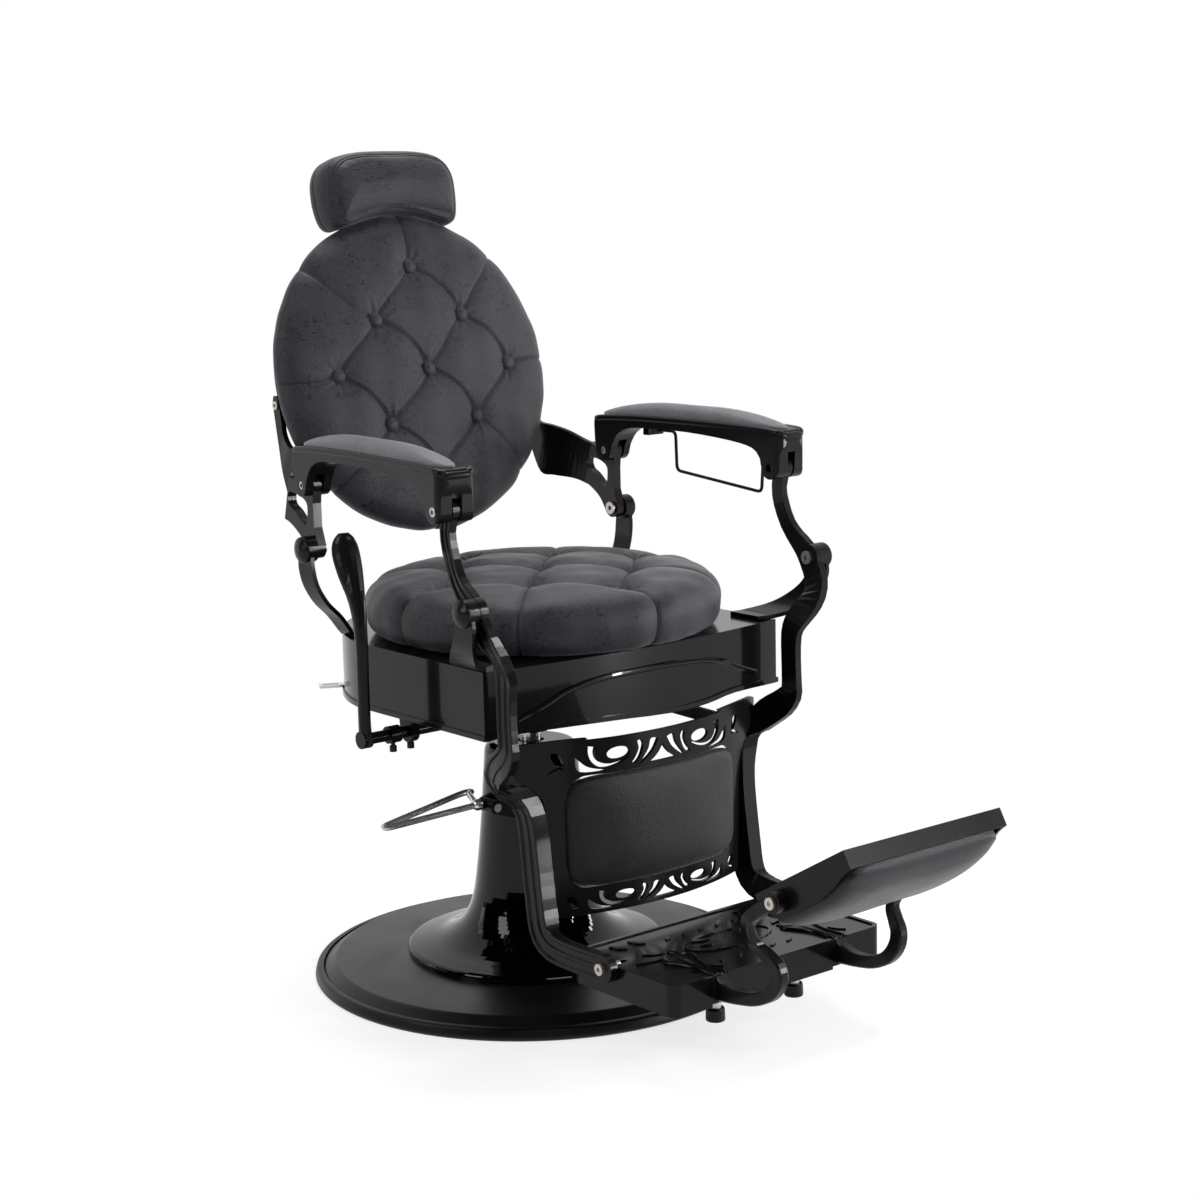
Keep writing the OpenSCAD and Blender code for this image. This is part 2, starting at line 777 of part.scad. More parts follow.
module back_shell() {
  wall = 4;
  color(satin)
    on_back() translate([0, back_rear + 0.3, 0]) rotate([-90, 0, 0])
      union() {
        rotate_extrude($fn = 96)
          polygon(concat(
            [[0, shell_d - wall], [shell_r - 22, shell_d - wall], [shell_r - wall, shell_d - 16]],
            [[shell_r - wall, 0], [shell_r, 0], [shell_r, shell_d - 15]],
            arc([shell_r - 16, shell_d - 16], 16, 10, 80, 6),
            [[0, shell_d]]));
        cylinder(h = 8, r = shell_r - wall, $fn = 96);
      }
}

// Upper end of a back lever: strap that turns inboard and up to the side of the shell
function lever_rings() =
  let (
    x = rear_x,
    edge = shell_r + 4.3,
    a = rear_arm,
    b = back_bolt_at,
    c = from_back([back_rear + 0.9, -27.5]),
    st = smooth([
      [x, a[0] + 31, a[1] + 3, a[0] + 48, a[1] - 61],
      [x - 8, a[0] + 59, a[1] + 12, a[0] + 78, a[1] - 51],
      [x - 26, a[0] + 78, a[1] + 26, a[0] + 108, a[1] - 46],
      [edge + 8, a[0] + 98, a[1] + 35, a[0] + 123, a[1] - 40],
      [edge + 5, a[0] + 124, a[1] + 39, a[0] + 143, a[1]],
      [edge + 0.6, c[0] - 9, c[1] - 43, b[0] - 1, b[1] - 61],
      [edge, c[0] - 5, c[1] - 23, b[0] + 6, b[1] - 29],
      [edge, c[0] + 0.6, c[1] + 3, b[0] + 11, b[1] + 1],
      [edge, c[0] + 2.8, c[1] + 13, b[0] + 9, b[1] + 13]], 4))
  [for (s = st) [
    [s[0] - 4, s[1], s[2]], [s[0] + 4, s[1], s[2]], [s[0] + 4, s[3], s[4]], [s[0] - 4, s[3], s[4]]]];

back_bolt_at = from_back([back_rear + 5.4, -27.5]);

module back_lever() {
  p = rear_pivot;
  a = rear_arm;
  color(satin)
    difference() {
      union() {
        side(rear_x, back_lever_t)
          union() {
            translate(p) circle(d = 29);
            translate(a) circle(d = 28);
            polygon(concat(
              [[p[0] - 14, p[1] + 6], [p[0] - 6, p[1] + 30], [a[0] - 9, a[1] - 26], [a[0] - 12, a[1] + 2]],
              [[a[0] + 3, a[1] + 13], [a[0] + 31, a[1] + 3], [a[0] + 50, a[1] + 8], [a[0] + 66, a[1] - 54]],
              reversed(smooth([[p[0] + 12, p[1] - 10], [p[0] + 28, p[1] + 14], [p[0] + 52, p[1] + 30],
                [a[0] + 65, a[1] - 54.5]], 4))));
          }
        skin(lever_rings());
      }
      side(rear_x, 60)
        polygon(smooth([[a[0] + 50, a[1] - 14], [a[0] + 26, a[1] - 17], [a[0] + 8, a[1] - 26],
          [a[0] + 6, a[1] - 42], [a[0] + 11, a[1] - 57], [a[0] + 22, a[1] - 54], [a[0] + 38, a[1] - 41],
          [a[0] + 52, a[1] - 33], [a[0] + 56, a[1] - 22], [a[0] + 50, a[1] - 14]], 4));
      cross_pin(rear_x - 40, rear_x + 40, p, pin_d + 2 * fit);
      cross_pin(rear_x - 40, rear_x + 40, a, pin_d + 2 * fit);
      cross_pin(rear_x - 90, rear_x - 10, back_bolt_at, 8);
    }
}

module back_lever_left() { back_lever(); }
module back_lever_right() { mirror([1, 0, 0]) back_lever(); }

module back_bolts() {
  color(steel)
    both_sides()
      head_bolt(shell_r + 8.6, back_bolt_at, 8, 4, 8.2);
}

bar_y = 70;
bar_w = 25;
bar_t = 8;
socket_z = back_d / 2 - 115;
head_pivot = [bar_y, back_d / 2 + 40];

module headrest_socket() {
  color(satin)
    on_back()
      difference() {
        translate([-28, back_rear + shell_d + 0.3, socket_z])
          cube([56, bar_y + 14 - back_rear - shell_d, 66]);
        translate([-bar_w / 2 - 0.1, bar_y - bar_t / 2 - 0.1, socket_z - 1])
          cube([bar_w + 0.2, bar_t + 0.2, 80]);
        translate([0, bar_y, socket_z + 33]) rotate([-90, 0, 0]) cylinder(h = 40, d = 10 + 2 * fit);
      }
}

module headrest_knob() {
  color(black)
    on_back() translate([0, bar_y + bar_t / 2 + 0.3, socket_z + 33]) rotate([-90, 0, 0])
      union() {
        cylinder(h = 16, d = 10);
        translate([0, 0, 14]) cylinder(h = 16, d = 30);
        for (a = [0:60:300]) rotate(a) translate([15, 0, 14]) cylinder(h = 16, d = 9);
      }
}

module headrest_bar() {
  color(chrome)
    on_back()
      difference() {
        union() {
          translate([-bar_w / 2, bar_y - bar_t / 2, socket_z - 90])
            cube([bar_w, bar_t, head_pivot[1] - socket_z + 90]);
          translate([-bar_w / 2, head_pivot[0], head_pivot[1]]) rotate([0, 90, 0])
            cylinder(h = bar_w, d = 18);
        }
        translate([-30, head_pivot[0], head_pivot[1]]) rotate([0, 90, 0]) cylinder(h = 60, d = 8 + 2 * fit);
      }
}

head_rear = 34;
head_mid = back_d / 2 + 38.7;

module headrest_bracket() {
  lug = 5;
  color(satin)
    on_back()
      union() {
        for (s = [-1, 1])
          translate([s * (bar_w / 2 + gap + lug / 2) - lug / 2, 0, 0])
            rotate([90, 0, 90]) linear_extrude(lug)
            polygon(concat(
              [[head_rear + 0.3, head_mid - 26]], arc(head_pivot, 10, -70, 90, 8),
              [[head_rear + 0.3, head_mid + 10]]));
        translate([-38, head_rear + 0.3, head_mid - 30]) cube([76, 4, 60]);
        translate([-bar_w / 2 - gap - lug - 3, head_pivot[0], head_pivot[1]]) rotate([0, 90, 0])
          cylinder(h = bar_w + 2 * (gap + lug + 3), d = 8);
      }
}

// Outline of the headrest drawn in by a distance: domed top, hollow underside round the back cushion
function head_outline(inset) =
  let (
    w = head_w / 2,
    h = head_h / 2,
    half = smooth([[0, 1], [0.42, 0.966], [0.71, 0.862], [0.88, 0.672], [0.975, 0.345], [1, -0.086],
      [0.983, -0.51], [0.933, -0.84], [0.84, -0.985], [0.714, -0.9], [0.504, -0.755], [0.252, -0.63],
      [0, -0.59]], 2),
    all = concat([for (q = half) [-q[0], q[1]]], [for (k = [len(half) - 2:-1:1]) half[k]]))
  [for (q = all) [q[0] * (w - inset), head_mid + q[1] * (h - inset)]];

module headrest_cushion() {
  sides = [[head_rear, 10], [head_rear - 3, 5], [head_rear - 10, 1.5], [head_rear - head_t / 2, 0],
    [head_rear - head_t + 17, 1], [head_rear - head_t + 9, 4], [head_rear - head_t + 4, 9],
    [head_rear - head_t + 1, 18], [head_rear - head_t, 32]];
  color(hide)
    on_back()
      skin([for (s = sides) [for (q = head_outline(s[1])) [q[0], s[0], q[1]]]]);
}

// ---------- arms ----------

arm_x = [rear_x, front_x - 3];
arm_splay = atan((arm_x[1] - arm_x[0]) / (rear_arm[0] - front_arm[0]));
arm_l = (rear_arm[0] - front_arm[0]) / cos(arm_splay);
arm_slot = [back_lever_t + 3, lever_t + 3];
ear_r = 16;

// Frame of an arm: origin over its rear pivot, -y towards its front end
module on_arm() {
  translate([arm_x[0], rear_arm[0], 0]) rotate(arm_splay) children();
}

arm_tip = -arm_l - 21;

module arm_side() {
  r = [0, rear_arm[1]];
  f = [-arm_l, front_arm[1]];
  t = arm_top;
  polygon(concat(
    smooth([[20, t - 16], [18, t - 7], [8, t - 3], [-70, t + 1], [-190, t + 2], [-310, t + 0.5],
      [f[0] - 8, t - 2], [f[0] - 17, t - 7], [f[0] - 21, t - 18], [f[0] - 20, t - 27],
      [f[0] - 17, t - 36]], 3),
    arc(f, ear_r, 190, 350, 10),
    smooth([[f[0] + 19, t - 44], [f[0] + 34, t - 30], [f[0] + 80, t - 22], [f[0] + 170, t - 16],
      [-95, t - 16], [-55, t - 19], [-32, t - 30], [-19, t - 48]], 3),
    arc(r, ear_r, 190, 350, 10),
    [[19, t - 40]]));
}

// Half width of an arm at a distance y from its rear pivot
function arm_half(y) =
  y > -60 ? 19 + 3 * (30 - y) / 90
  : y > arm_tip + 14 ? 22 + 6 * (-60 - y) / (-74 - arm_tip)
  : 14 + sqrt(max(0, 196 - pow(arm_tip + 14 - y, 2)));

arm_stops = [20, -60, -150, -250, -330, arm_tip + 14, arm_tip + 10, arm_tip + 6, arm_tip + 3,
  arm_tip + 1, arm_tip];

module arm_plan() {
  half = [for (y = arm_stops) [arm_half(y), y]];
  polygon(concat(half, [for (p = reversed(half)) [-p[0], p[1]]]));
}

// Stations along the arm's upholstered inset, as shares of its length
pad_shares = [0, 0.01, 0.03, 0.07, 0.15, 0.3, 0.45, 0.6, 0.75, 0.87, 0.94, 0.975, 0.99, 1];
pad_from = 16;
pad_run = pad_from - arm_tip - 14;

function pad_half(u) =
  max(0.6, (arm_half(pad_from - u * pad_run) - 4) * pow(1 - pow(abs(2 * u - 1), 5), 0.5));

function pad_crown(u, v) = 1 + (5 + 17 * (1 - pow(abs(v), 2.6))) * pow(1 - pow(abs(v), 8), 0.5);

pad_seat = 8;        // depth of the recess that holds the inset

module pad_plan(grow) {
  half = [for (u = pad_shares)
    [pad_half(u) + grow, pad_from - u * pad_run + (u == 0 ? grow : u == 1 ? -grow : 0)]];
  polygon(concat(half, [for (p = reversed(half)) [-p[0], p[1]]]));
}

module arm_frame() {
  color(black)
    difference() {
      on_arm()
        difference() {
          intersection() {
            translate([-40, 0, 0]) rotate([90, 0, 90]) linear_extrude(80) arm_side();
            translate([0, 0, 690]) linear_extrude(120) arm_plan();
          }
          translate([0, 0, arm_top - pad_seat]) linear_extrude(30) pad_plan(0.3);
          translate([-arm_slot[0] / 2, -24, 600]) cube([arm_slot[0], 48, arm_top - 32 - 600]);
          translate([-arm_slot[1] / 2, -arm_l - 26, 600]) cube([arm_slot[1], 52, arm_top - 34 - 600]);
        }
      cross_pin(rear_x - 60, rear_x + 60, rear_arm, pin_d);
      cross_pin(front_x - 60, front_x + 60, front_arm, pin_d);
    }
}

module arm_inset() {
  color(hide)
    on_arm()
      skin([for (u = pad_shares)
        let (w = pad_half(u), y = pad_from - u * pad_run, c = pad_crown(u, 2 * u - 1))
        concat(
          [[-w, y, arm_top - pad_seat + 0.3], [w, y, arm_top - pad_seat + 0.3]],
          [for (k = [0:8]) let (a = k * 22.5)
            [w * cos(a), y, arm_top - 1 + c * pow(sin(a), 0.8)]])]);
}

module arm_bolt_pair() {
  color(steel)
    union() {
      for (s = [[arm_x[0], rear_arm], [arm_x[1], front_arm]])
        difference() {
          union() {
            cross_pin(s[0] - 19, s[0] + 19, s[1], pin_d);
          }
          for (m = [-1, 1])
            translate([s[0] + m * 19, s[1][0], s[1][1]]) rotate([0, 90, 0])
              cylinder(h = 6, d = 7, center = true, $fn = 6);
        }
    }
}

module arm_left() { arm_frame(); }
module arm_right() { mirror([1, 0, 0]) arm_frame(); }
module arm_pad_left() { arm_inset(); }
module arm_pad_right() { mirror([1, 0, 0]) arm_inset(); }
module arm_bolts_left() { arm_bolt_pair(); }
module arm_bolts_right() { mirror([1, 0, 0]) arm_bolt_pair(); }

// Towel rail: a bent wire that hangs from two clips on the left arm's outer side
rail_d = 5;
rail_ends = [78, -172];
rail_z = arm_top - 27;
rail_x = front_x + 26;

// Outer side of the left arm at a distance y
function arm_outer(y) =
  arm_x[0] + (rear_arm[0] - y) * tan(arm_splay) + arm_half(y - rear_arm[0]) / cos(arm_splay);

module towel_clips() {
  color(satin)
    for (y = rail_ends)
      let (x = arm_outer(y) + 0.8)
        difference() {
          translate([x, y - 6, rail_z - 6]) cube([rail_x + 6 - x, 12, 24]);
          translate([rail_x, y + 20, rail_z]) rotate([90, 0, 0]) cylinder(h = 40, d = rail_d + 0.3);
        }
}

module towel_rail() {
  color(black)
    bent_bar([for (q = round_path(
      [[rail_ends[0] + 9, rail_z], [rail_ends[0] - 41, rail_z], [rail_ends[0] - 43, rail_z - 59],
        [rail_ends[1] + 20, rail_z - 76], [rail_ends[1] + 14, rail_z], [rail_ends[1] - 9, rail_z]], 9))
      [rail_x, q[0], q[1]]], rail_d, [1, 0, 0]);
}

// ---------- legs, panel and footplate ----------

foot_x = plate_w / 2 + 0.5 + lever_t / 2;

// Stations of a leg lever: [y, z, x of its outer face, width, thickness as a share of the lever's]
function leg_line() =
  let (
    p = front_pivot, a = front_arm, f = foot_bolt,
    x1 = front_x - 3 + lever_t / 2, x2 = front_x + lever_t / 2, x3 = front_x - 36, x4 = foot_x + lever_t / 2)
  smooth([
    [a[0], a[1] + 2, x1, 24, 1], [a[0] + 7, a[1] - 28, x1, 20, 1], [a[0] + 3, a[1] - 52, x1, 21, 1],
    [a[0] - 9, a[1] - 80, x1 + 1, 21, 1], [p[0] + 28, p[1] + 25, x2, 25, 1],
    [p[0] + 11, p[1] + 10, x2, 31, 1],
    [p[0] - 4, p[1] - 14, x2, 34, 1], [p[0] - 15, p[1] - 36, x2 - 3, 36, 1],
    [p[0] - 19, p[1] - 54, x2 - 14, 37, 1], [p[0] - 15, p[1] - 71, x3 + 15, 37, 1],
    [p[0] - 8, p[1] - 88, x3 + 4, 34, 1],
    [p[0] - 3, p[1] - 106, x3, 31, 1], [p[0] - 2, p[1] - 140, x3, 29, 1],
    [p[0] - 3, p[1] - 178, x3, 30, 1], [p[0] - 2, p[1] - 192, x3 - 1, 34, 1],
    [p[0] + 12, p[1] - 208, x3 - 4, 40, 1.1], [p[0] + 32, p[1] - 222, x3 - 9, 42, 1.2],
    [p[0] + 50, p[1] - 241, x3 - 18, 38, 1.4], [p[0] + 51, p[1] - 258, x3 - 34, 34, 1.7],
    [p[0] + 42, p[1] - 274, x4 + 12, 34, 2], [p[0] + 37, p[1] - 294, x4 + 3, 35, 2],
    [p[0] + 34, p[1] - 326, x4, 37, 2],
    [p[0] + 29, p[1] - 371, x4, 38, 2], [p[0] + 24, f[1] + 62, x4, 38, 2],
    [p[0] + 20, f[1] + 34, x4, 39, 2],
    [p[0] + 12, f[1] + 14, x4, 42, 1.7], [p[0] - 6, f[1] + 3, x4, 41, 1.3],
    [p[0] - 40, f[1] - 1, x4, 38, 1], [f[0] + 40, f[1] - 1, x4, 38, 1], [f[0] - 2, f[1], x4, 38, 1]], 2);

// Cross-section of a leg: plain inside, two grooves and a middle rib outside
leg_section = [[-1, -1], [1, -1], [1, 0.8], [0.94, 1], [0.72, 1], [0.6, 0.6], [0.2, 0.6], [0.12, 0.9],
  [-0.12, 0.9], [-0.2, 0.6], [-0.6, 0.6], [-0.72, 1], [-0.94, 1], [-1, 0.8]];

module leg_body() {
  c = leg_line();
  skin([for (i = [0:len(c) - 1])
    let (
      a = c[max(i - 1, 0)], b = c[min(i + 1, len(c) - 1)],
      run = norm([b[0] - a[0], b[1] - a[1]]),
      n = [-(b[1] - a[1]) / run, (b[0] - a[0]) / run],
      t = c[i][4] * lever_t / 2 * sqrt(1 + pow((b[2] - a[2]) / run, 2)),
      m = c[i][2] - c[i][4] * lever_t / 2)
    [for (s = leg_section)
      [m + (s[1] < 0 ? -t : t - (1 - s[1]) * lever_t / 2), c[i][0] + n[0] * s[0] * c[i][3] / 2,
        c[i][1] + n[1] * s[0] * c[i][3] / 2]]]);
}

module leg() {
  color(satin)
    difference() {
      union() {
        leg_body();
        cross_pin(front_x - lever_t / 2, front_x + lever_t / 2, front_pivot, 38);
        cross_pin(front_x - 3 - lever_t / 2, front_x - 3 + lever_t / 2, front_arm, 29);
        cross_pin(foot_x - lever_t / 2, foot_x + lever_t / 2, [foot_bolt[0] - 1, foot_bolt[1]], 38);
      }
      cross_pin(front_x - 30, front_x + 30, front_pivot, pin_d + 2 * fit);
      cross_pin(front_x - 30, front_x + 30, front_arm, pin_d + 2 * open_gap);
      cross_pin(foot_x - 30, foot_x + 30, foot_bolt, 10);
    }
}

module leg_left() { leg(); }
module leg_right() { mirror([1, 0, 0]) leg(); }

panel_front = -294;
panel_r = (pow(foot_x - 6, 2) + pow(panel_bow, 2)) / (2 * panel_bow);
panel_edge = foot_x - 1.5 * lever_t - 0.4;

// Plan of the bowed panel between two radii, clipped to the space between the legs
module panel_plan(outer, inner) {
  translate([0, panel_front + panel_r])
    difference() {
      circle(r = outer, $fn = 180);
      circle(r = inner, $fn = 180);
    }
}

// One scroll band about its middle, drawn 36 high
module scroll_band() {
  polygon(concat(
    smooth([[-24, -17], [-13, -10], [-5, -2], [0, 6]], 3),
    smooth([[0.01, 6], [5, -2], [13, -10], [24, -17]], 3)));
  for (m = [0, 1]) mirror([m, 0]) {
    polygon(concat(
      smooth([[8, 14], [14, 16], [21, 15], [24, 5], [29, -3], [41, -17]], 3),
      smooth([[40, -17.4], [28, -10], [17, -1], [11, 8], [8, 13.6]], 3)));
    polygon(concat(
      smooth([[36, 16], [43, 16], [41, 6], [46, -5], [53, -13]], 3),
      smooth([[51, -14], [45, -13], [38, -5], [33, 9], [35.6, 15.6]], 3)));
    polygon([for (a = [0:18:342]) [73 + 18 * cos(a), 4 + 8.5 * sin(a)]]);
    polygon(strip(
      smooth([[56, -3], [72, -9], [88, -11.5], [101, -9], [110, -1], [113, 9], [112, 17]], 3),
      [for (k = [0:18]) 0.6 + 0.28 * k]));
    polygon(smooth([[136, 7], [125, -4], [114, -12], [92, -17.5], [118, -18], [134, -12], [136, 6.6]], 3));
    polygon(smooth([[150, -4], [155, 8], [160, 13], [168, 12], [166, 3], [158, -5], [150.4, -4.4]], 3));
    polygon(strip([[150, -10], [158, -8], [166, -11], [172, -15]], [2.2, 1.8, 1.3, 0.8]));
  }
}

pad_z = [205, 359];
pad_w = 2 * foot_x - 88;
pad_corner = 30;

module panel_outline() {
  e = panel_edge;
  right = concat(
    [[e - 1, panel_bottom], [e, panel_bottom + 8], [e, 285]],
    smooth([[e - 0.2, 300], [e + 0.6, 316], [e + 4, 333], [e + 16.5, 349], [e + 36, 363], [e + 52, 380],
      [e + 59, 396]], 2));
  top = smooth([[e + 58, panel_top - 4], [e + 40, panel_top + 1], [e - 10, panel_top + 4],
    [119, panel_top + 4], [113, panel_top + 0.5], [0, panel_top]], 3);
  half = concat(right, top);
  polygon(concat([[0, panel_bottom]], half, [for (p = reversed(half)) if (p[0] > 0) [-p[0], p[1]]]));
}

module leg_panel() {
  color(black)
    difference() {
      intersection() {
        translate([0, 0, panel_bottom - 10]) linear_extrude(panel_top - panel_bottom + 30)
          panel_plan(panel_r, panel_r - panel_t);
        translate([0, -100, 0]) rotate([90, 0, 0]) linear_extrude(260) panel_outline();
      }
      translate([0, -100, panel_top - 26]) rotate([90, 0, 0]) linear_extrude(300) scroll_band();
      translate([0, -100, panel_bottom + 18]) rotate([90, 0, 0]) linear_extrude(300)
        scale([0.9, 0.7]) scroll_band();
      translate([0, -100, (pad_z[0] + pad_z[1]) / 2]) rotate([90, 0, 0]) linear_extrude(300)
        polygon(round_box(pad_w + 0.8, pad_z[1] - pad_z[0] + 0.8, pad_corner + 0.4, 8));
    }
  color(black)
    difference() {
      for (s = [-1, 1])
        translate([lock_x + s * (lock_t / 2 + 0.4 + 3) - 3, 0, 0]) rotate([90, 0, 90]) linear_extrude(6)
          polygon(concat(
            [[-290, lock_pin_at[1] - 12]], arc(lock_pin_at, 12, -90, 90, 8), [[-290, lock_pin_at[1] + 12]]));
      translate([0, 0, 300]) linear_extrude(200) panel_plan(panel_r + 60, panel_r - panel_t);
      cross_pin(lock_x - 30, lock_x + 30, lock_pin_at, 8);
    }
}

// Depth of the panel's surface at x on a circle whose radius differs from the front's by dr
function panel_y(x, dr) = panel_front + panel_r - sqrt(pow(panel_r + dr, 2) - x * x);

// Upholstered inset of the leg panel: fills its window and swells out in front
module leg_pad() {
  w = pad_w / 2;
  h = (pad_z[1] - pad_z[0]) / 2;
  mid = (pad_z[0] + pad_z[1]) / 2;
  stations = [-1, -0.985, -0.95, -0.88, -0.75, -0.5, -0.25, 0, 0.25, 0.5, 0.75, 0.88, 0.95, 0.985, 1];
  rows = [-1, -0.97, -0.9, -0.75, -0.4, 0, 0.4, 0.75, 0.9, 0.97, 1];
  color(hide)
    skin([for (u = stations)
      let (
        x = u * w,
        over = max(0, abs(x) - (w - pad_corner)),
        hz = h - pad_corner + sqrt(max(0, pad_corner * pad_corner - over * over)),
        rise = 1 + 10 * pow(1 - pow(abs(u), 6), 0.5))
      concat(
        [[x, panel_y(x, -panel_t), mid - hz], [x, panel_y(x, -panel_t), mid + hz]],
        [for (v = reversed(rows))
          [x, panel_y(x, rise * (0.25 + 0.75 * pow(1 - pow(abs(v), 6), 0.5))), mid + v * hz]])]);
}

plate_rear = foot_bolt[0] + 77;
plate_front = plate_rear - plate_l;
hook_root = 108;
hook_w = 26;
plate_wall = 5;

function plate_outline(inset) =
  [for (p = round_box(plate_w - 2 * inset, plate_l - 2 * inset, max(2, 14 - inset), 5))
    [p[0], p[1] + (plate_rear + plate_front) / 2]];

// Leaf with a middle vein, for the footplate's tread
module tread_leaf(l, w) {
  polygon(concat(
    smooth([[0, 0], [l * 0.3, w], [l * 0.7, w * 0.8], [l, 0]], 4),
    smooth([[l * 0.95, -0.4], [l * 0.65, -w * 0.5], [l * 0.3, -w * 0.35], [0, 0]], 4)));
}

function oval(a, b, n = 40) = [for (k = [0:n - 1]) [a * cos(360 * k / n), b * sin(360 * k / n)]];

module tread() {
  translate([0, (plate_rear + plate_front) / 2]) {
    difference() {
      polygon(oval(74, 33));
      polygon(oval(69, 28));
    }
    for (a = [0, 180]) rotate(a) {
      for (k = [-1:1]) translate([16 + 4 * abs(k), 14 * k]) rotate(18 * k) tread_leaf(34, 5);
      translate([84, 4]) rotate(22) tread_leaf(52, 9);
      translate([84, -4]) rotate(-22) mirror([0, 1]) tread_leaf(52, 9);
      translate([92, 0]) tread_leaf(70, 7);
      for (k = [-2:2]) translate([30 * k - 6, 48]) rotate(40) tread_leaf(24, 5);
      for (k = [-4, -3, 3, 4]) translate([32 * k, 58]) rotate(120) tread_leaf(26, 5);
    }
  }
}

module footplate() {
  color(black)
    difference() {
      union() {
        translate([0, 0, plate_z - plate_h]) linear_extrude(plate_h - 2) polygon(plate_outline(0));
        translate([0, 0, plate_z - 2]) linear_extrude(2)
          difference() {
            polygon(plate_outline(0));
            polygon(plate_outline(6));
          }
        translate([0, 0, plate_z - 2]) linear_extrude(2) tread();
      }
      translate([0, 0, plate_z - plate_h - 1]) linear_extrude(plate_h - 7)
        polygon(plate_outline(plate_wall + 8));
      both_sides()
        translate([hook_root - hook_w / 2 - 0.3, plate_front - 20, plate_z - plate_h - 1])
          cube([hook_w + 0.6, 58, plate_h + 6]);
      both_sides() cross_pin(plate_w / 2 - 30, plate_w / 2 + 5, foot_bolt, 10);
    }
}

module footplate_bolts() {
  color(steel)
    both_sides()
      head_bolt(foot_x + lever_t / 2 + 0.2, foot_bolt, 10, 5, lever_t + 18);
}

hook_t = 16;
hook_x = step_w / 2 + gap + hook_t / 2;

// Stations of a hook bracket: [y, z, x, width]
function hook_line() =
  let (s = step_pivot, r = hook_root, y0 = plate_front, z0 = plate_z)
  smooth([
    [y0 + 2, z0 - 19, r, 34], [y0 - 12, z0 - 21, r, 26], [y0 - 34, z0 - 22, r - 1, 19],
    [y0 - 66, z0 - 17, r - 2, 17],
    [y0 - 92, z0 - 4, r - 3, 18], [y0 - 106, z0 + 15, r - 2, 20], [y0 - 107, z0 + 33, r, 20],
    [y0 - 96, z0 + 47, r + 5, 17], [y0 - 84, z0 + 61, r + 13, 15], [s[0] + 60, s[1] - 56, r + 27, 15],
    [s[0] + 49, s[1] - 35, hook_x, 16], [s[0] + 28, s[1] - 16, hook_x, 18],
    [s[0] + 4, s[1] - 2, hook_x, 20]], 4);

hook_section = [[-1, -0.7], [-0.8, -1], [0.8, -1], [1, -0.7], [1, 0.7], [0.8, 1], [-0.8, 1], [-1, 0.7]];

module hook() {
  c = hook_line();
  color(black)
    difference() {
      union() {
        skin([for (i = [0:len(c) - 1])
          let (
            a = c[max(i - 1, 0)], b = c[min(i + 1, len(c) - 1)],
            run = norm([b[0] - a[0], b[1] - a[1]]),
            n = [-(b[1] - a[1]) / run, (b[0] - a[0]) / run])
          [for (s = hook_section)
            [c[i][2] + s[1] * hook_t / 2, c[i][0] + n[0] * s[0] * c[i][3] / 2,
              c[i][1] + n[1] * s[0] * c[i][3] / 2]]]);
        translate([hook_root - hook_w / 2, plate_front, plate_z - 38]) cube([hook_w, 37.5, 36]);
        cross_pin(hook_x - hook_t / 2, hook_x + hook_t / 2, step_pivot, 28);
      }
      cross_pin(hook_x - 30, hook_x + 30, step_pivot, 10);
    }
}

module hook_left() { hook(); }
module hook_right() { mirror([1, 0, 0]) hook(); }

foot_at = [71, plate_front + 51];
foot_z = 57;

module foot_studs() {
  color(steel)
    both_sides()
      translate([foot_at[0], foot_at[1], foot_z + 18]) cylinder(h = plate_z - 8 - foot_z - 18, d = 16);
}

module rubber_feet() {
  color(rubber)
    both_sides()
      translate([foot_at[0], foot_at[1], foot_z])
        rotate_extrude()
          polygon(concat([[0, 0], [10, 0]], arc([11, 2], 2, -90, 0, 3), [[12.5, 16], [11.5, 18], [0, 18]]));
}

// ---------- flip-over step ----------

step_t = 5;
step_back = -41;
step_tip = step_l + step_back;
step_top = 21;

// Frame of the step: origin on its pivot, y along the step towards its tip, z away from its pad
module on_step() {
  translate([0, step_pivot[0], step_pivot[1]]) rotate([step_rise, 0, 0])
    mirror([0, 1, 0]) rotate([2 * step_rise, 0, 0]) children();
}

function step_curve() = smooth([[step_back, -2], [step_back + 14, -14], [-8, -20], [30, -21.5],
  [66, -20], [96, -14], [118, -6], [step_tip, -3]], 3);

module step_shell() {
  half = step_w / 2;
  color(black)
    on_step()
      difference() {
        union() {
          for (s = [-1, 1])
            translate([s * (half - step_t / 2) - step_t / 2, 0, 0])
              rotate([90, 0, 90]) linear_extrude(step_t)
              polygon(concat(step_curve(), [[step_tip, step_top], [step_back, step_top]]));
          translate([-half, step_back, step_top - 4]) cube([step_w, step_l, 4]);
          translate([-half, step_tip - 4, -3]) cube([step_w, 4, step_top + 3]);
          translate([-half, step_back, -2]) cube([step_w, 4, step_top + 2]);
        }
        rotate([0, 90, 0]) cylinder(h = 2 * half + 2, d = 10 + 2 * fit, center = true);
      }
}

module step_pad() {
  half = step_w / 2 - step_t - 0.3;
  curve = [for (p = step_curve()) if (p[0] > step_back + 4.3 && p[0] < step_tip - 4.3) p];
  run = curve[len(curve) - 1][0] - curve[0][0];
  xs = [-1, -0.985, -0.94, -0.84, -0.6, -0.3, 0, 0.3, 0.6, 0.84, 0.94, 0.985, 1];
  color(hide)
    on_step()
      skin([for (u = xs)
        let (swell = 2 + 18 * sqrt(1 - pow(abs(u), 5)))
        concat(
          [for (p = curve)
            let (v = 2 * (p[0] - curve[0][0]) / run - 1)
            [u * half, p[0], p[1] - swell * sqrt(1.01 - pow(abs(v), 6))]],
          [[u * half, curve[len(curve) - 1][0], step_top - 4.3], [u * half, curve[0][0], step_top - 4.3]])]);
}

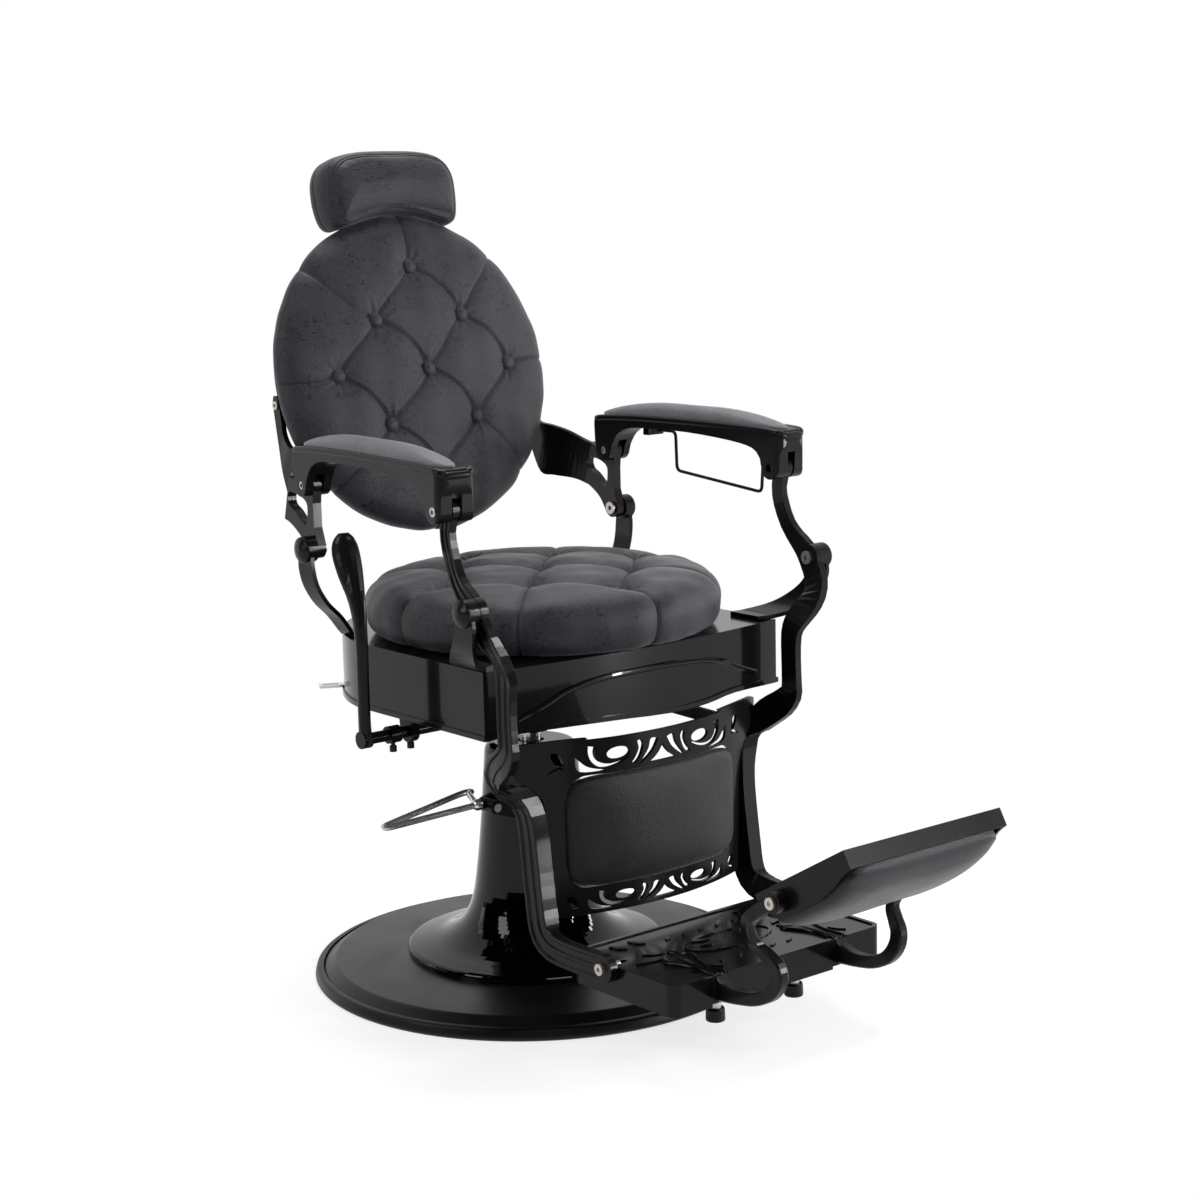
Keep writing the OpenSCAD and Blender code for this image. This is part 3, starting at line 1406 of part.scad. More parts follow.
module step_bolts() {
  color(steel)
    both_sides()
      head_bolt(hook_x + hook_t / 2 + 0.2, step_pivot, 10, 4, hook_t + gap + step_t + 0.2);
}

base_ring();
base_disc();
pump_cover();
pump_cylinder();
pump_ram();
pedal_bracket();
pedal_hub();
pump_pedal();
pedal_pin();
seat_mount();
seat_tray();
seat_board();
seat_cushion();
front_bracket_left();
front_bracket_right();
rear_bracket_left();
rear_bracket_right();
pivot_bolts();
shaft_hangers();
handle_shaft();
recline_handle();
collar_screw();
hanger_screw();
tray_tab();
lock_clamp();
lock_bar();
lock_pin();
back_lever_left();
back_lever_right();
back_shell();
back_bolts();
back_cushion();
back_buttons();
headrest_socket();
headrest_knob();
headrest_bar();
headrest_bracket();
headrest_cushion();
arm_left();
arm_right();
arm_pad_left();
arm_pad_right();
arm_bolts_left();
arm_bolts_right();
towel_clips();
towel_rail();
leg_left();
leg_right();
leg_panel();
leg_pad();
footplate();
footplate_bolts();
hook_left();
hook_right();
foot_studs();
rubber_feet();
step_shell();
step_pad();
step_bolts();
apron_bead();
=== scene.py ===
import math
import bmesh
import bpy
import numpy as np
from mathutils import Matrix, Vector


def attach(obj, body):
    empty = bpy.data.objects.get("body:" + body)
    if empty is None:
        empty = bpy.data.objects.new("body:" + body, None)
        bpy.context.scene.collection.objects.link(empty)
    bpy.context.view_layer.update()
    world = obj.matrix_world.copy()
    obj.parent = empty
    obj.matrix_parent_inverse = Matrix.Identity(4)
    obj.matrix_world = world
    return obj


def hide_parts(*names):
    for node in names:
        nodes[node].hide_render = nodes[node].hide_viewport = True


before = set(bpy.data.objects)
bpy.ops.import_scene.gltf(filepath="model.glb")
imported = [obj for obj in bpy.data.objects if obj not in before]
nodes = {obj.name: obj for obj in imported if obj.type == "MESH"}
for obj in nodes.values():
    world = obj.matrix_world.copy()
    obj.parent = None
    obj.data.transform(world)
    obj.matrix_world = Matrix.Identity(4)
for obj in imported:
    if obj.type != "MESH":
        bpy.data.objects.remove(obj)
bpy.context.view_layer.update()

# Camera: a long lens at chest height, off the chair's front right corner, so that the
# near arm, the leg rest and the far side levers all show.
lens_mm = 72.149
camera_place = (-2.08104, -2.70279, 1.15442)
yaw, pitch, roll = (math.radians(a) for a in (-39.36986, 10.12953, -1.27532))
to_camera = Vector((math.sin(yaw) * math.cos(pitch), -math.cos(yaw) * math.cos(pitch),
                    math.sin(pitch)))
level_right = Vector((math.cos(yaw), math.sin(yaw), 0))
level_up = to_camera.cross(level_right)
turned_right = level_right * math.cos(roll) + level_up * math.sin(roll)
turned_up = level_up * math.cos(roll) - level_right * math.sin(roll)
camera_data = bpy.data.cameras.new("camera")
camera_data.sensor_width = 36
camera_data.lens = lens_mm
camera_data.clip_end = 60
camera = bpy.data.objects.new("camera", camera_data)
axes = Matrix((turned_right, turned_up, to_camera)).transposed().to_4x4()
camera.matrix_world = Matrix.Translation(camera_place) @ axes
bpy.context.collection.objects.link(camera)
bpy.context.scene.camera = camera
bpy.context.scene.view_settings.view_transform = "Standard"


# Room: white walls that also show in gloss paint and metal. The light that they give the
# chair itself is faint, and stronger from behind the chair than from in front of it.
def linear(code):
    """Linear colour of an sRGB hex code."""
    parts = [int(code[k:k + 2], 16) / 255 for k in (1, 3, 5)]
    return tuple(c / 12.92 if c <= 0.04045 else ((c + 0.055) / 1.055) ** 2.4
                 for c in parts) + (1,)


def node(tree, kind, inputs=(), **settings):
    """Adds a shader node with its settings, and sets or links its inputs."""
    made = tree.nodes.new("ShaderNode" + kind)
    for key, value in settings.items():
        setattr(made, key, value)
    for key, value in dict(inputs).items():
        if isinstance(value, bpy.types.NodeSocket):
            tree.links.new(value, made.inputs[key])
        else:
            made.inputs[key].default_value = value
    return made


def bare_tree(owner):
    """The emptied node tree of a world or a material."""
    owner.use_nodes = True
    owner.node_tree.nodes.clear()
    return owner.node_tree


def sees_white(tree):
    """1 for the rays that see the white room: from the camera, or sent on by a gloss or
    clear surface."""
    path = node(tree, "LightPath")
    seen = node(tree, "Math", {0: path.outputs["Is Camera Ray"],
                               1: path.outputs["Is Glossy Ray"]}, operation="MAXIMUM")
    shown = node(tree, "Math", {0: seen.outputs[0],
                                1: path.outputs["Is Transmission Ray"]}, operation="MAXIMUM")
    return shown.outputs[0]


pure_white = (1, 1, 1, 1)
behind_chair = (0.62, 0.75, 0.22)
room = bpy.data.worlds.new("white_room")
bpy.context.scene.world = room
tree = bare_tree(room)
sky = node(tree, "TexCoord")
behind = node(tree, "VectorMath", {0: sky.outputs["Generated"], 1: behind_chair},
              operation="DOT_PRODUCT")
wall = node(tree, "MapRange", {"Value": behind.outputs["Value"], "From Min": 0.1,
                               "From Max": 0.95, "To Min": 0.03, "To Max": 0.13},
            interpolation_type="SMOOTHSTEP")
white = node(tree, "Background", {"Color": pure_white, "Strength": 1.0})
walls = node(tree, "Background", {"Color": wall.outputs["Result"], "Strength": 1.0})
both = node(tree, "MixShader", {"Fac": sees_white(tree), 1: walls.outputs[0],
                                2: white.outputs[0]})
node(tree, "OutputWorld", {"Surface": both.outputs[0]})


# Lamps: soft boxes at the left, in front and overhead model the cushions. Narrow strips
# at the right and behind draw thin bright lines along the castings' edges.
def soft_box(name, place, aim, size, watts):
    data = bpy.data.lights.new(name, "AREA")
    data.shape = "RECTANGLE"
    data.size, data.size_y = size
    data.energy = watts
    box = bpy.data.objects.new(name, data)
    facing = (Vector(aim) - Vector(place)).to_track_quat("-Z", "Y")
    box.matrix_world = Matrix.Translation(place) @ facing.to_matrix().to_4x4()
    bpy.context.collection.objects.link(box)


soft_box("box_left", (-3.0, 0.4, 2.0), (0, 0, 0.6), (0.9, 2.4), 40)
soft_box("box_front", (-1.0, -3.4, 2.6), (0, 0, 0.6), (1.5, 1.0), 27)
soft_box("box_top", (0.3, 0.6, 3.0), (0, 0, 0.5), (1.3, 1.6), 40)
soft_box("strip_front", (1.55, -2.6, 0.95), (0, 0, 0.55), (0.09, 1.9), 60)
soft_box("strip_right", (2.9, -1.2, 1.2), (0, 0, 0.6), (0.2, 2.0), 30)
soft_box("strip_rear", (-1.9, 2.4, 1.1), (0, 0, 0.6), (0.5, 2.0), 5)


# Floor: a roll of white paper. Near the chair it keeps the soft shadow, further out it
# fades to the room's white, so that no edge shows.
def staged(name, shape, surface):
    """A part of the room, not of the chair, from its bmesh."""
    data = bpy.data.meshes.new(name)
    shape.to_mesh(data)
    shape.free()
    data.materials.append(surface)
    thing = bpy.data.objects.new(name, data)
    bpy.context.collection.objects.link(thing)
    return thing


shadow_reach, white_from = 0.55, 1.15
paper = bpy.data.materials.new("white_paper_floor")
tree = bare_tree(paper)
lit = node(tree, "BsdfDiffuse", {"Color": (0.5, 0.5, 0.5, 1)})
glow = node(tree, "Emission", {"Color": pure_white, "Strength": 0.7})
near = node(tree, "AddShader", {0: lit.outputs[0], 1: glow.outputs[0]})
far = node(tree, "Emission", {"Color": pure_white, "Strength": 1.0})
away = node(tree, "VectorMath", {0: node(tree, "TexCoord").outputs["Object"]},
            operation="LENGTH")
share = node(tree, "MapRange", {"Value": away.outputs["Value"], "From Min": shadow_reach,
                                "From Max": white_from})
bright = node(tree, "MixShader", {"Fac": share.outputs["Result"], 1: near.outputs[0],
                                  2: far.outputs[0]})
plain = node(tree, "BsdfDiffuse", {"Color": (0.13, 0.13, 0.13, 1)})
both = node(tree, "MixShader", {"Fac": sees_white(tree), 1: plain.outputs[0],
                                2: bright.outputs[0]})
node(tree, "OutputMaterial", {"Surface": both.outputs[0]})
sheet = bmesh.new()
bmesh.ops.create_grid(sheet, x_segments=1, y_segments=1, size=25)
staged("floor", sheet, paper)

# Curtain: black velvet closes the room on the lamps' side, as a half dome that the camera
# looks through. Gloss paint mirrors it as deep black, with the lamps as bright bars in it.
curtain_radius = 7.0
to_backdrop = Vector((0.62, 0.75, 0.0)).normalized()
velvet = bpy.data.materials.new("black_velvet_curtain")
tree = bare_tree(velvet)
nap = node(tree, "BsdfDiffuse", {"Color": (0.02, 0.02, 0.02, 1)})
node(tree, "OutputMaterial", {"Surface": nap.outputs[0]})
dome = bmesh.new()
bmesh.ops.create_icosphere(dome, subdivisions=4, radius=curtain_radius)
opening = [v for v in dome.verts
           if v.co.z < -0.2 or v.co.normalized().dot(to_backdrop) > 0.3]
bmesh.ops.delete(dome, geom=opening, context="VERTS")
curtain = staged("black_curtain", dome, velvet)
curtain.visible_camera = False


# Base: a turned cast iron disc, powder coated, lies in a moulded rubber ring that keeps
# it off the floor. Both stay dull, the disc with one broad soft sheen.
def material(name, colour, roughness, metallic=0.0):
    made = bpy.data.materials.new(name)
    made.use_nodes = True
    shader = made.node_tree.nodes["Principled BSDF"]
    shader.inputs["Base Color"].default_value = linear(colour)
    shader.inputs["Roughness"].default_value = roughness
    shader.inputs["Metallic"].default_value = metallic
    return made, made.node_tree, shader


def vary_roughness(tree, shader, pattern, low, high, start=0.3, end=0.7):
    """Roughness from low to high as the pattern's value goes from start to end."""
    spread = node(tree, "MapRange", {"Value": pattern.outputs["Fac"], "From Min": start,
                                     "From Max": end, "To Min": low, "To Max": high})
    tree.links.new(spread.outputs["Result"], shader.inputs["Roughness"])


def painted(name, colour, roughness, texture_mm, bump, spread=0.05, coat=0.0,
            coat_roughness=0.1, edge_mm=1.2, shine=0.2):
    """Paint that is uneven in gloss, has a fine orange peel and rounds the edges."""
    cloud_mm = 71.43
    made, tree, shader = material(name, colour, roughness)
    shader.inputs["Specular IOR Level"].default_value = shine
    shader.inputs["Coat Weight"].default_value = coat
    shader.inputs["Coat Roughness"].default_value = coat_roughness
    place = node(tree, "TexCoord").outputs["Object"]
    cloud = node(tree, "TexNoise", {"Vector": place, "Scale": 1000 / cloud_mm, "Detail": 3.0})
    vary_roughness(tree, shader, cloud, roughness - spread, roughness + spread)
    peel = node(tree, "TexNoise", {"Vector": place, "Scale": 1000 / texture_mm, "Detail": 2.0})
    soft = node(tree, "Bevel", {"Radius": edge_mm / 1000}, samples=4)
    ripple = node(tree, "Bump", {"Height": peel.outputs["Fac"], "Distance": 0.001,
                                 "Strength": bump, "Normal": soft.outputs["Normal"]})
    tree.links.new(ripple.outputs["Normal"], shader.inputs["Normal"])
    return made


def dress(made, *names):
    """Gives CAD nodes their material."""
    for name in names:
        nodes[name].data.materials.clear()
        nodes[name].data.materials.append(made)


# Powder coat: very dark grey, a fine grain that scatters the light.
disc_coat = painted("matt_black_powder_coat", "#151518", 0.34, 1.6, 0.06)
dress(disc_coat, "base_disc")

# Moulded rubber: deep black, slightly grained, with a dull line of light on its bead.
ring_rubber = painted("moulded_black_rubber", "#0d0d0e", 0.38, 0.9, 0.08)
dress(ring_rubber, "base_ring", "rubber_feet")

# Pump: a spun steel cover stands round the oil cylinder, and the chromed ram slides out
# of it. The foot pedal, a bent chromed loop, hinges in two cast ears on the cylinder.
# Lacquer: mirrors the room sharply, with long slow waves from the spinning.
gloss_lacquer = painted("gloss_black_lacquer", "#040405", 0.07, 30.0, 0.02, spread=0.02,
                        coat=0.36, coat_roughness=0.03, shine=0.05)
dress(gloss_lacquer, "pump_cover")

# Enamel over castings: warm black, with satin highlights that spread along the edges.
cast_black = painted("satin_black_cast_enamel", "#171314", 0.34, 2.4, 0.08, coat=0.16,
                     coat_roughness=0.14, edge_mm=1.8, shine=0.09)
dress(cast_black, "pump_cylinder", "pedal_bracket", "pedal_hub")

# Plating: bright, a little smeared by hands and polish. Only three quarters of it acts as
# metal; the rest is a pale matt colour, a painted reflection that keeps it bright where it
# mirrors dark parts of the room.
smear_mm = 22.22
chrome_with_painted_reflection, tree, shader = material("satin_chrome_painted_reflection", "#dcdde0", 0.24, metallic=0.75)
place = node(tree, "TexCoord").outputs["Object"]
smear = node(tree, "TexNoise", {"Vector": place, "Scale": 1000 / smear_mm, "Detail": 3.0})
vary_roughness(tree, shader, smear, 0.14, 0.28, start=0.0, end=1.0)
dress(chrome_with_painted_reflection, "pump_ram", "pump_pedal", "tray_tab", "headrest_bar")

# Screw steel: grey, with fine turning marks that blur what it mirrors.
turning_mm = 2.381
screw_steel, tree, shader = material("brushed_screw_steel", "#bdb8b2", 0.4, metallic=1.0)
place = node(tree, "TexCoord").outputs["Object"]
lathe = node(tree, "Mapping", {"Vector": place, "Scale": (1.0, 1.0, 9.0)})
marks = node(tree, "TexNoise", {"Vector": lathe.outputs["Vector"],
                                "Scale": 1000 / turning_mm, "Detail": 2.0})
vary_roughness(tree, shader, marks, 0.32, 0.5, start=0.0, end=1.0)
dress(screw_steel, "pedal_pin", "pivot_bolts", "lock_pin", "back_bolts", "arm_bolts_left",
      "arm_bolts_right", "footplate_bolts", "foot_studs", "step_bolts")

# Seat frame: a cast hub turns on the ram and carries a cast tray with a deep apron and a
# wave-shaped bead. Brackets with domed bosses are bolted on for the levers.
dress(cast_black, "seat_mount", "front_bracket_left", "front_bracket_right",
      "rear_bracket_left", "rear_bracket_right")

# Gloss enamel: sprayed on smooth metal, it mirrors in broad streaks.
tray_enamel = painted("gloss_black_tray_enamel", "#110e10", 0.2, 14.0, 0.03, spread=0.03,
                      coat=0.36, coat_roughness=0.05, edge_mm=2.0, shine=0.07)
dress(tray_enamel, "seat_tray", "apron_bead")

# Birch plywood: raw wood, long pale and brown grain, no gloss.
plywood, tree, shader = material("birch_plywood", "#8a6848", 0.6)
place = node(tree, "TexCoord").outputs["Object"]
long_grain = node(tree, "Mapping", {"Vector": place, "Scale": (6.0, 90.0, 90.0)})
grain = node(tree, "TexNoise", {"Vector": long_grain.outputs["Vector"], "Scale": 3.0,
                                "Detail": 5.0})
tint = node(tree, "ValToRGB", {"Fac": grain.outputs["Fac"]})
tint.color_ramp.elements[0].color = linear("#6f5034")
tint.color_ramp.elements[1].color = linear("#a17f5c")
tree.links.new(tint.outputs["Color"], shader.inputs["Base Color"])
dress(plywood, "seat_board")


# Seat cushion: a round foam pad under distressed charcoal leathercloth, pinched through
# at nine points of a turned grid. Sewn folds run between them and out to the rim.
def leathercloth(name, colour, dark, pale, fleck=0.5, flow=(1.0, 1.0, 2.6), roughness=0.5):
    """Waxed polyurethane leathercloth: dark rubbed flecks a few millimetres long over a
    cloudy charcoal, fine pale scuffs, and a shallow pebble grain. The grain is drawn
    coarser than the real one, so that it shows."""
    cloud_mm, patch_mm, rub_mm, scuff_mm = 90.91, 38.46, 8, 3.846
    crease_mm, pebble_mm = 10.53, 1.613
    made, tree, shader = material(name, colour, roughness)
    place = node(tree, "TexCoord").outputs["Object"]
    lay = node(tree, "Mapping", {"Vector": place, "Scale": flow}).outputs["Vector"]
    cloud = node(tree, "TexNoise", {"Vector": place, "Scale": 1000 / cloud_mm, "Detail": 4.0,
                                    "Roughness": 0.6})
    patch = node(tree, "TexNoise", {"Vector": place, "Scale": 1000 / patch_mm, "Detail": 3.0})
    rub = node(tree, "TexNoise", {"Vector": lay, "Scale": 1000 / rub_mm, "Detail": 6.0,
                                  "Roughness": 0.72, "Distortion": 1.3})
    scuff = node(tree, "TexNoise", {"Vector": lay, "Scale": 1000 / scuff_mm, "Detail": 4.0,
                                    "Roughness": 0.7})
    spots = node(tree, "MapRange", {"Value": rub.outputs["Fac"], "From Min": 0.53,
                                    "From Max": 0.6})
    area = node(tree, "MapRange", {"Value": patch.outputs["Fac"], "From Min": 0.4,
                                   "From Max": 0.58, "To Min": 0.25, "To Max": 1.0})
    flecks = node(tree, "Math", {0: spots.outputs["Result"], 1: area.outputs["Result"]},
                  operation="MULTIPLY")
    amount = node(tree, "Math", {0: flecks.outputs[0], 1: fleck}, operation="MULTIPLY")
    lines = node(tree, "MapRange", {"Value": scuff.outputs["Fac"], "From Min": 0.58,
                                    "From Max": 0.74, "To Max": 0.3})
    base = node(tree, "ValToRGB", {"Fac": cloud.outputs["Fac"]})
    for stop, position, lightness in zip(base.color_ramp.elements, (0.3, 0.72), (0.82, 1.14)):
        stop.position = position
        stop.color = [c * lightness for c in linear(colour)[:3]] + [1]
    worn = node(tree, "Mix", {"Factor": lines.outputs["Result"], 6: base.outputs["Color"],
                              7: linear(pale)}, data_type="RGBA")
    marked = node(tree, "Mix", {"Factor": amount.outputs[0], 6: worn.outputs[2],
                                7: linear(dark)}, data_type="RGBA")
    tree.links.new(marked.outputs[2], shader.inputs["Base Color"])
    vary_roughness(tree, shader, rub, roughness + 0.07, roughness - 0.08)
    pebble = node(tree, "TexVoronoi", {"Vector": place, "Scale": 1000 / pebble_mm})
    crease = node(tree, "TexNoise", {"Vector": place, "Scale": 1000 / crease_mm, "Detail": 4.0})
    height = node(tree, "Math", {0: crease.outputs["Fac"], 1: 1.6}, operation="MULTIPLY")
    relief = node(tree, "Math", {0: pebble.outputs["Distance"], 1: height.outputs[0]},
                  operation="ADD")
    ripple = node(tree, "Bump", {"Height": relief.outputs[0], "Distance": 0.0012,
                                 "Strength": 0.28})
    tree.links.new(ripple.outputs["Normal"], shader.inputs["Normal"])
    shader.inputs["Sheen Weight"].default_value = 0.25
    shader.inputs["Sheen Roughness"].default_value = 0.35
    shader.inputs["Specular IOR Level"].default_value = 0.26
    return made


def curve_through(points, steps):
    """Smooth curve through all the points, steps to a span."""
    p = np.array(points, float)
    ends = np.vstack([p[:1], p, p[-1:]])
    out = []
    for k in range(len(p) - 1):
        a, b, c, d = ends[k:k + 4]
        for t in np.arange(steps) / steps:
            out.append(0.5 * (2 * b + (c - a) * t + (2 * a - 5 * b + 4 * c - d) * t * t
                              + (3 * b - a - 3 * c + d) * t ** 3))
    return np.array(out + [p[-1]])


def rings_of(made):
    """Bends a square grid into rings: each vertex's share of the way out, and its angle."""
    flat = np.array([v.co[:2] for v in made.verts])
    u, v = flat[:, 0], flat[:, 1]
    wide = abs(u) >= abs(v)
    safe_u, safe_v = np.where(abs(u) < 1e-9, 1, u), np.where(abs(v) < 1e-9, 1, v)
    angle = np.where(wide, math.pi / 4 * v / safe_u, math.pi / 2 - math.pi / 4 * u / safe_v)
    angle = angle + math.pi * np.where(wide, u < 0, v < 0)
    return np.maximum(abs(u), abs(v)), angle


def closed(made):
    """Fills open ends and turns every face outwards."""
    bmesh.ops.holes_fill(made, edges=[e for e in made.edges if e.is_boundary], sides=0)
    bmesh.ops.recalc_face_normals(made, faces=made.faces)


def piece(name, made, made_of, body):
    """Smooth piece from its bmesh, that rides on a body."""
    data = bpy.data.meshes.new(name)
    made.to_mesh(data)
    made.free()
    data.materials.append(made_of)
    data.shade_smooth()
    thing = bpy.data.objects.new(name, data)
    bpy.context.collection.objects.link(thing)
    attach(thing, body)
    return thing


def stuffed(name, shape, count, reach, made_of, body):
    """Soft piece from a grid of count by count cells that shape moves into place."""
    made = bmesh.new()
    bmesh.ops.create_grid(made, x_segments=count, y_segments=count, size=reach)
    for vertex, place in zip(made.verts, shape(*rings_of(made))):
        vertex.co = place
    closed(made)
    return piece(name, made, made_of, body)


def tube_along(points, radius, sides=6):
    """Thin round line along points in metres, closed at both ends."""
    made = bmesh.new()
    spans = len(points) - 1
    bmesh.ops.create_grid(made, x_segments=spans, y_segments=sides, size=1)
    heading = np.gradient(points, axis=0)
    heading /= np.linalg.norm(heading, axis=1)[:, None]
    across = np.cross(heading, (0.31, 0.47, 0.83))
    across /= np.linalg.norm(across, axis=1)[:, None]
    over = np.cross(heading, across)
    for vertex in made.verts:
        k = round((vertex.co.x + 1) / 2 * spans)
        turn = math.pi * (vertex.co.y + 1)
        vertex.co = points[k] + radius * (across[k] * math.cos(turn) + over[k] * math.sin(turn))
    bmesh.ops.remove_doubles(made, verts=made.verts, dist=1e-7)
    closed(made)
    return made


def thread_piece(name, lines, made_of, body, radius=0.0009):
    """One piece from a thin round line along each of the lines."""
    whole = bmesh.new()
    for line in lines:
        part = tube_along(line, radius)
        data = bpy.data.meshes.new(name)
        part.to_mesh(data)
        part.free()
        whole.from_mesh(data)
        bpy.data.meshes.remove(data)
    return piece(name, whole, made_of, body)


def wrapped(profile, rim, reach):
    """Pad surface from a profile of [distance out, height]: share 1 lies at the distance
    rim, and the grid ends at share reach. Returns the points, outward normals and flat
    places for shares and angles, and the share at a distance along the surface."""
    table = curve_through(profile, 12)
    length = np.concatenate([[0], np.cumsum(np.hypot(*np.diff(table, axis=0).T))])
    to_rim = length[np.argmin(abs(table[:, 0] - rim))]
    shares = np.where(length <= to_rim, length / to_rim,
                      1 + (reach - 1) * (length - to_rim) / (length[-1] - to_rim))
    tangent = np.gradient(table, axis=0)
    tangent /= np.linalg.norm(tangent, axis=1)[:, None]

    def surface(share, angle):
        out, height, lean, rise, along = (
            np.interp(share, shares, column)
            for column in (table[:, 0], table[:, 1], -tangent[:, 1], tangent[:, 0], length))
        ray = np.stack([np.cos(angle), np.sin(angle)], 1)
        point = np.column_stack([ray * out[:, None], height])
        normal = np.column_stack([ray * lean[:, None], rise])
        return point, normal, ray * along[:, None]

    return surface, lambda distance: np.interp(distance, length, shares)


def to_line(points, line):
    """Distance of each point from a line of points, and the side that it lies on."""
    best = np.full(len(points), 1e9)
    side = np.zeros(len(points))
    for a, b in zip(line[:-1], line[1:]):
        run = b - a
        t = np.clip(((points - a) @ run) / (run @ run), 0, 1)
        off = points - a - t[:, None] * run
        d = np.hypot(off[:, 0], off[:, 1])
        cross = run[0] * off[:, 1] - run[1] * off[:, 0]
        nearer = d < best
        best = np.where(nearer, d, best)
        side = np.where(nearer, np.sign(cross), side)
    return best, side


def bowed(a, b, bulge, wave=0.0):
    """Seam from a to b, bowed sideways in mm, with a slight wander."""
    a, b = np.array(a, float), np.array(b, float)
    t = np.linspace(0, 1, 15)[:, None]
    across = np.array([-(b - a)[1], (b - a)[0]]) / np.hypot(*(b - a))
    return a + (b - a) * t + across * (bulge * 4 * t * (1 - t) + wave * np.sin(2 * math.pi * t))


def bell(distance, width):
    """1 at no distance, falling away softly past the width."""
    return np.exp(-(distance / width) ** 2)


def tufted(points, seams, wells, sink, puff, crumple, crease=1.9):
    """How far a tufted skin stands off its plain shape, in mm. It puffs out by puff, dips
    along the seams with one side lapped over the other, sinks at the wells, and has
    small pleats round those."""
    x, y = points[:, 0], points[:, 1]
    uneven = (1.1 * np.sin(x / 31 + 1) * np.sin(y / 37 + 2)
              + 0.7 * np.sin(x / 13 + y / 19) * np.sin(y / 15 - x / 29))
    groove, lap = np.zeros(len(x)), np.zeros(len(x))
    nearest = np.min([np.hypot(x - w[0], y - w[1]) for w in wells], axis=0)
    for line, depth, fold in seams:
        d, side = to_line(points, line)
        cut = depth * (0.72 * bell(d, 21) + 0.28 * bell(d, 8)) + crease * bell(d, 2.5)
        step = fold * side * np.exp(-(d / 9)) * (1 - bell(d, 1.6))
        lap = np.where(cut > groove, step, lap)
        groove = np.maximum(groove, cut)
    rise = puff + uneven - groove + lap * (1 - bell(nearest, 14))
    for k, well in enumerate(wells):
        dx, dy = x - well[0], y - well[1]
        r, turn = np.hypot(dx, dy), np.arctan2(dy, dx)
        rise = rise - sink * (0.62 * bell(r, 30) + 0.38 * bell(r, 11))
        rise = rise + crumple * np.cos(8 * turn + 1.3 * k) * bell(r - 17, 9)
        rise = rise + 0.6 * crumple * np.cos(13 * turn + 2.1 * k) * bell(r - 24, 8)
    return rise


def moved_out(point, normal, rise, share, reach):
    """Skin moved out by rise, which fades to nothing at the tucked-in edge."""
    fade = np.clip((reach - share) / 0.22, 0, 1)
    return point + normal * (rise * fade)[:, None]


def seam_lines(skin, share_at, seams):
    """Where seams drawn on the flat lie on the finished skin."""
    lines = []
    for line, *_ in seams:
        line = curve_through(line, 3)
        share = share_at(np.hypot(line[:, 0], line[:, 1]))
        lines.append(skin(share, np.arctan2(line[:, 1], line[:, 0])))
    return lines


charcoal = leathercloth("distressed_charcoal_leathercloth", "#34353b", "#07070a", "#74767f",
                        fleck=1.0, flow=(1.0, 1.0, 1.5))

# Waxed thread: nearly black, so that each seam reads as one dark line. It also colours
# the rings round the back buttons, as painted shade.
dark_thread_and_painted_shade = material("waxed_seam_thread_and_painted_shade", "#0b0b0c", 0.6)[0]

# The profile runs from the crown over the rim and in under the plywood board.
seat_profile = [[0, 80], [60, 79.2], [120, 77.5], [165, 74.5], [199, 70.5], [221, 65.5],
                [237, 57.5], [247, 46], [251.5, 32], [250.5, 18], [247.5, 7], [242, -1.5],
                [233, -7], [222, -9], [216, -7.5], [214.5, -3], [214.5, 0]]
seat_reach = 1.6
seat_place = [0, -40, 526.3]
seat_surface, seat_share = wrapped(seat_profile, 199, seat_reach)

# The wells lie on a grid turned by 45 degrees, pinch apart along its diagonals.
pinch = 89.86
corner_reach, side_reach = 2.9237, 3.5
corners = [(-1, -1), (-1, 1), (1, -1), (1, 1)]
sides = [(1, 0), (-1, 0), (0, 1), (0, -1)]
seat_wells = ([(0, 0)] + [(i * pinch, j * pinch) for i, j in corners]
              + [(2 * i * pinch, 2 * j * pinch) for i, j in sides])
# Each seam: its line, its depth and how far its fold laps, in mm.
seat_seams = []
for i, j in corners:
    corner = (i * pinch, j * pinch)
    edge = (corner_reach * i * pinch, corner_reach * j * pinch)
    seat_seams += [(bowed((0, 0), corner, 3 * i, 1.5), 6.5, 0.9 * j),
                   (bowed(corner, (2 * i * pinch, 0), 3, -1.5), 6.5, 0.9),
                   (bowed(corner, (0, 2 * j * pinch), -3, 1.5), 6.5, -0.9),
                   (bowed(corner, edge, 4 * i, 1), 3.2, 0.7)]
for i, j in sides:
    edge = (side_reach * i * pinch, side_reach * j * pinch)
    seat_seams.append((bowed((2 * i * pinch, 2 * j * pinch), edge, 3, 2), 4.5, 0.9))


def seat_skin(share, angle):
    point, normal, flat = seat_surface(share, angle)
    rise = tufted(flat, seat_seams, seat_wells, sink=15, puff=2.8, crumple=0.8)
    return (moved_out(point, normal, rise, share, seat_reach) + seat_place) / 1000


seat = stuffed("seat_cushion_cover", seat_skin, 290, seat_reach, charcoal, "seat")
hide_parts("seat_cushion")
thread_piece("seat_cushion_seams", seam_lines(seat_skin, seat_share, seat_seams), dark_thread_and_painted_shade,
             "seat")


# Back: a dished steel shell hangs on two cast levers and carries a round foam cushion in
# the same leathercloth. It is sewn in diamonds and buttoned through at nine points.
dress(cast_black, "back_lever_left", "back_lever_right", "headrest_socket")

# Shell enamel: satin black on sheet metal, even and a little dull.
shell_enamel = painted("satin_black_shell_enamel", "#19161a", 0.42, 5.0, 0.06, coat=0.08,
                       coat_roughness=0.2, shine=0.15)
dress(shell_enamel, "back_shell")

lean = math.radians(12)
back_middle = (262, 862)


def on_back(x, y, z):
    """From the back's own frame, origin at the shell's middle, to the chair's."""
    return np.column_stack([x, back_middle[0] + y * math.cos(lean) + z * math.sin(lean),
                            back_middle[1] - y * math.sin(lean) + z * math.cos(lean)]) / 1000


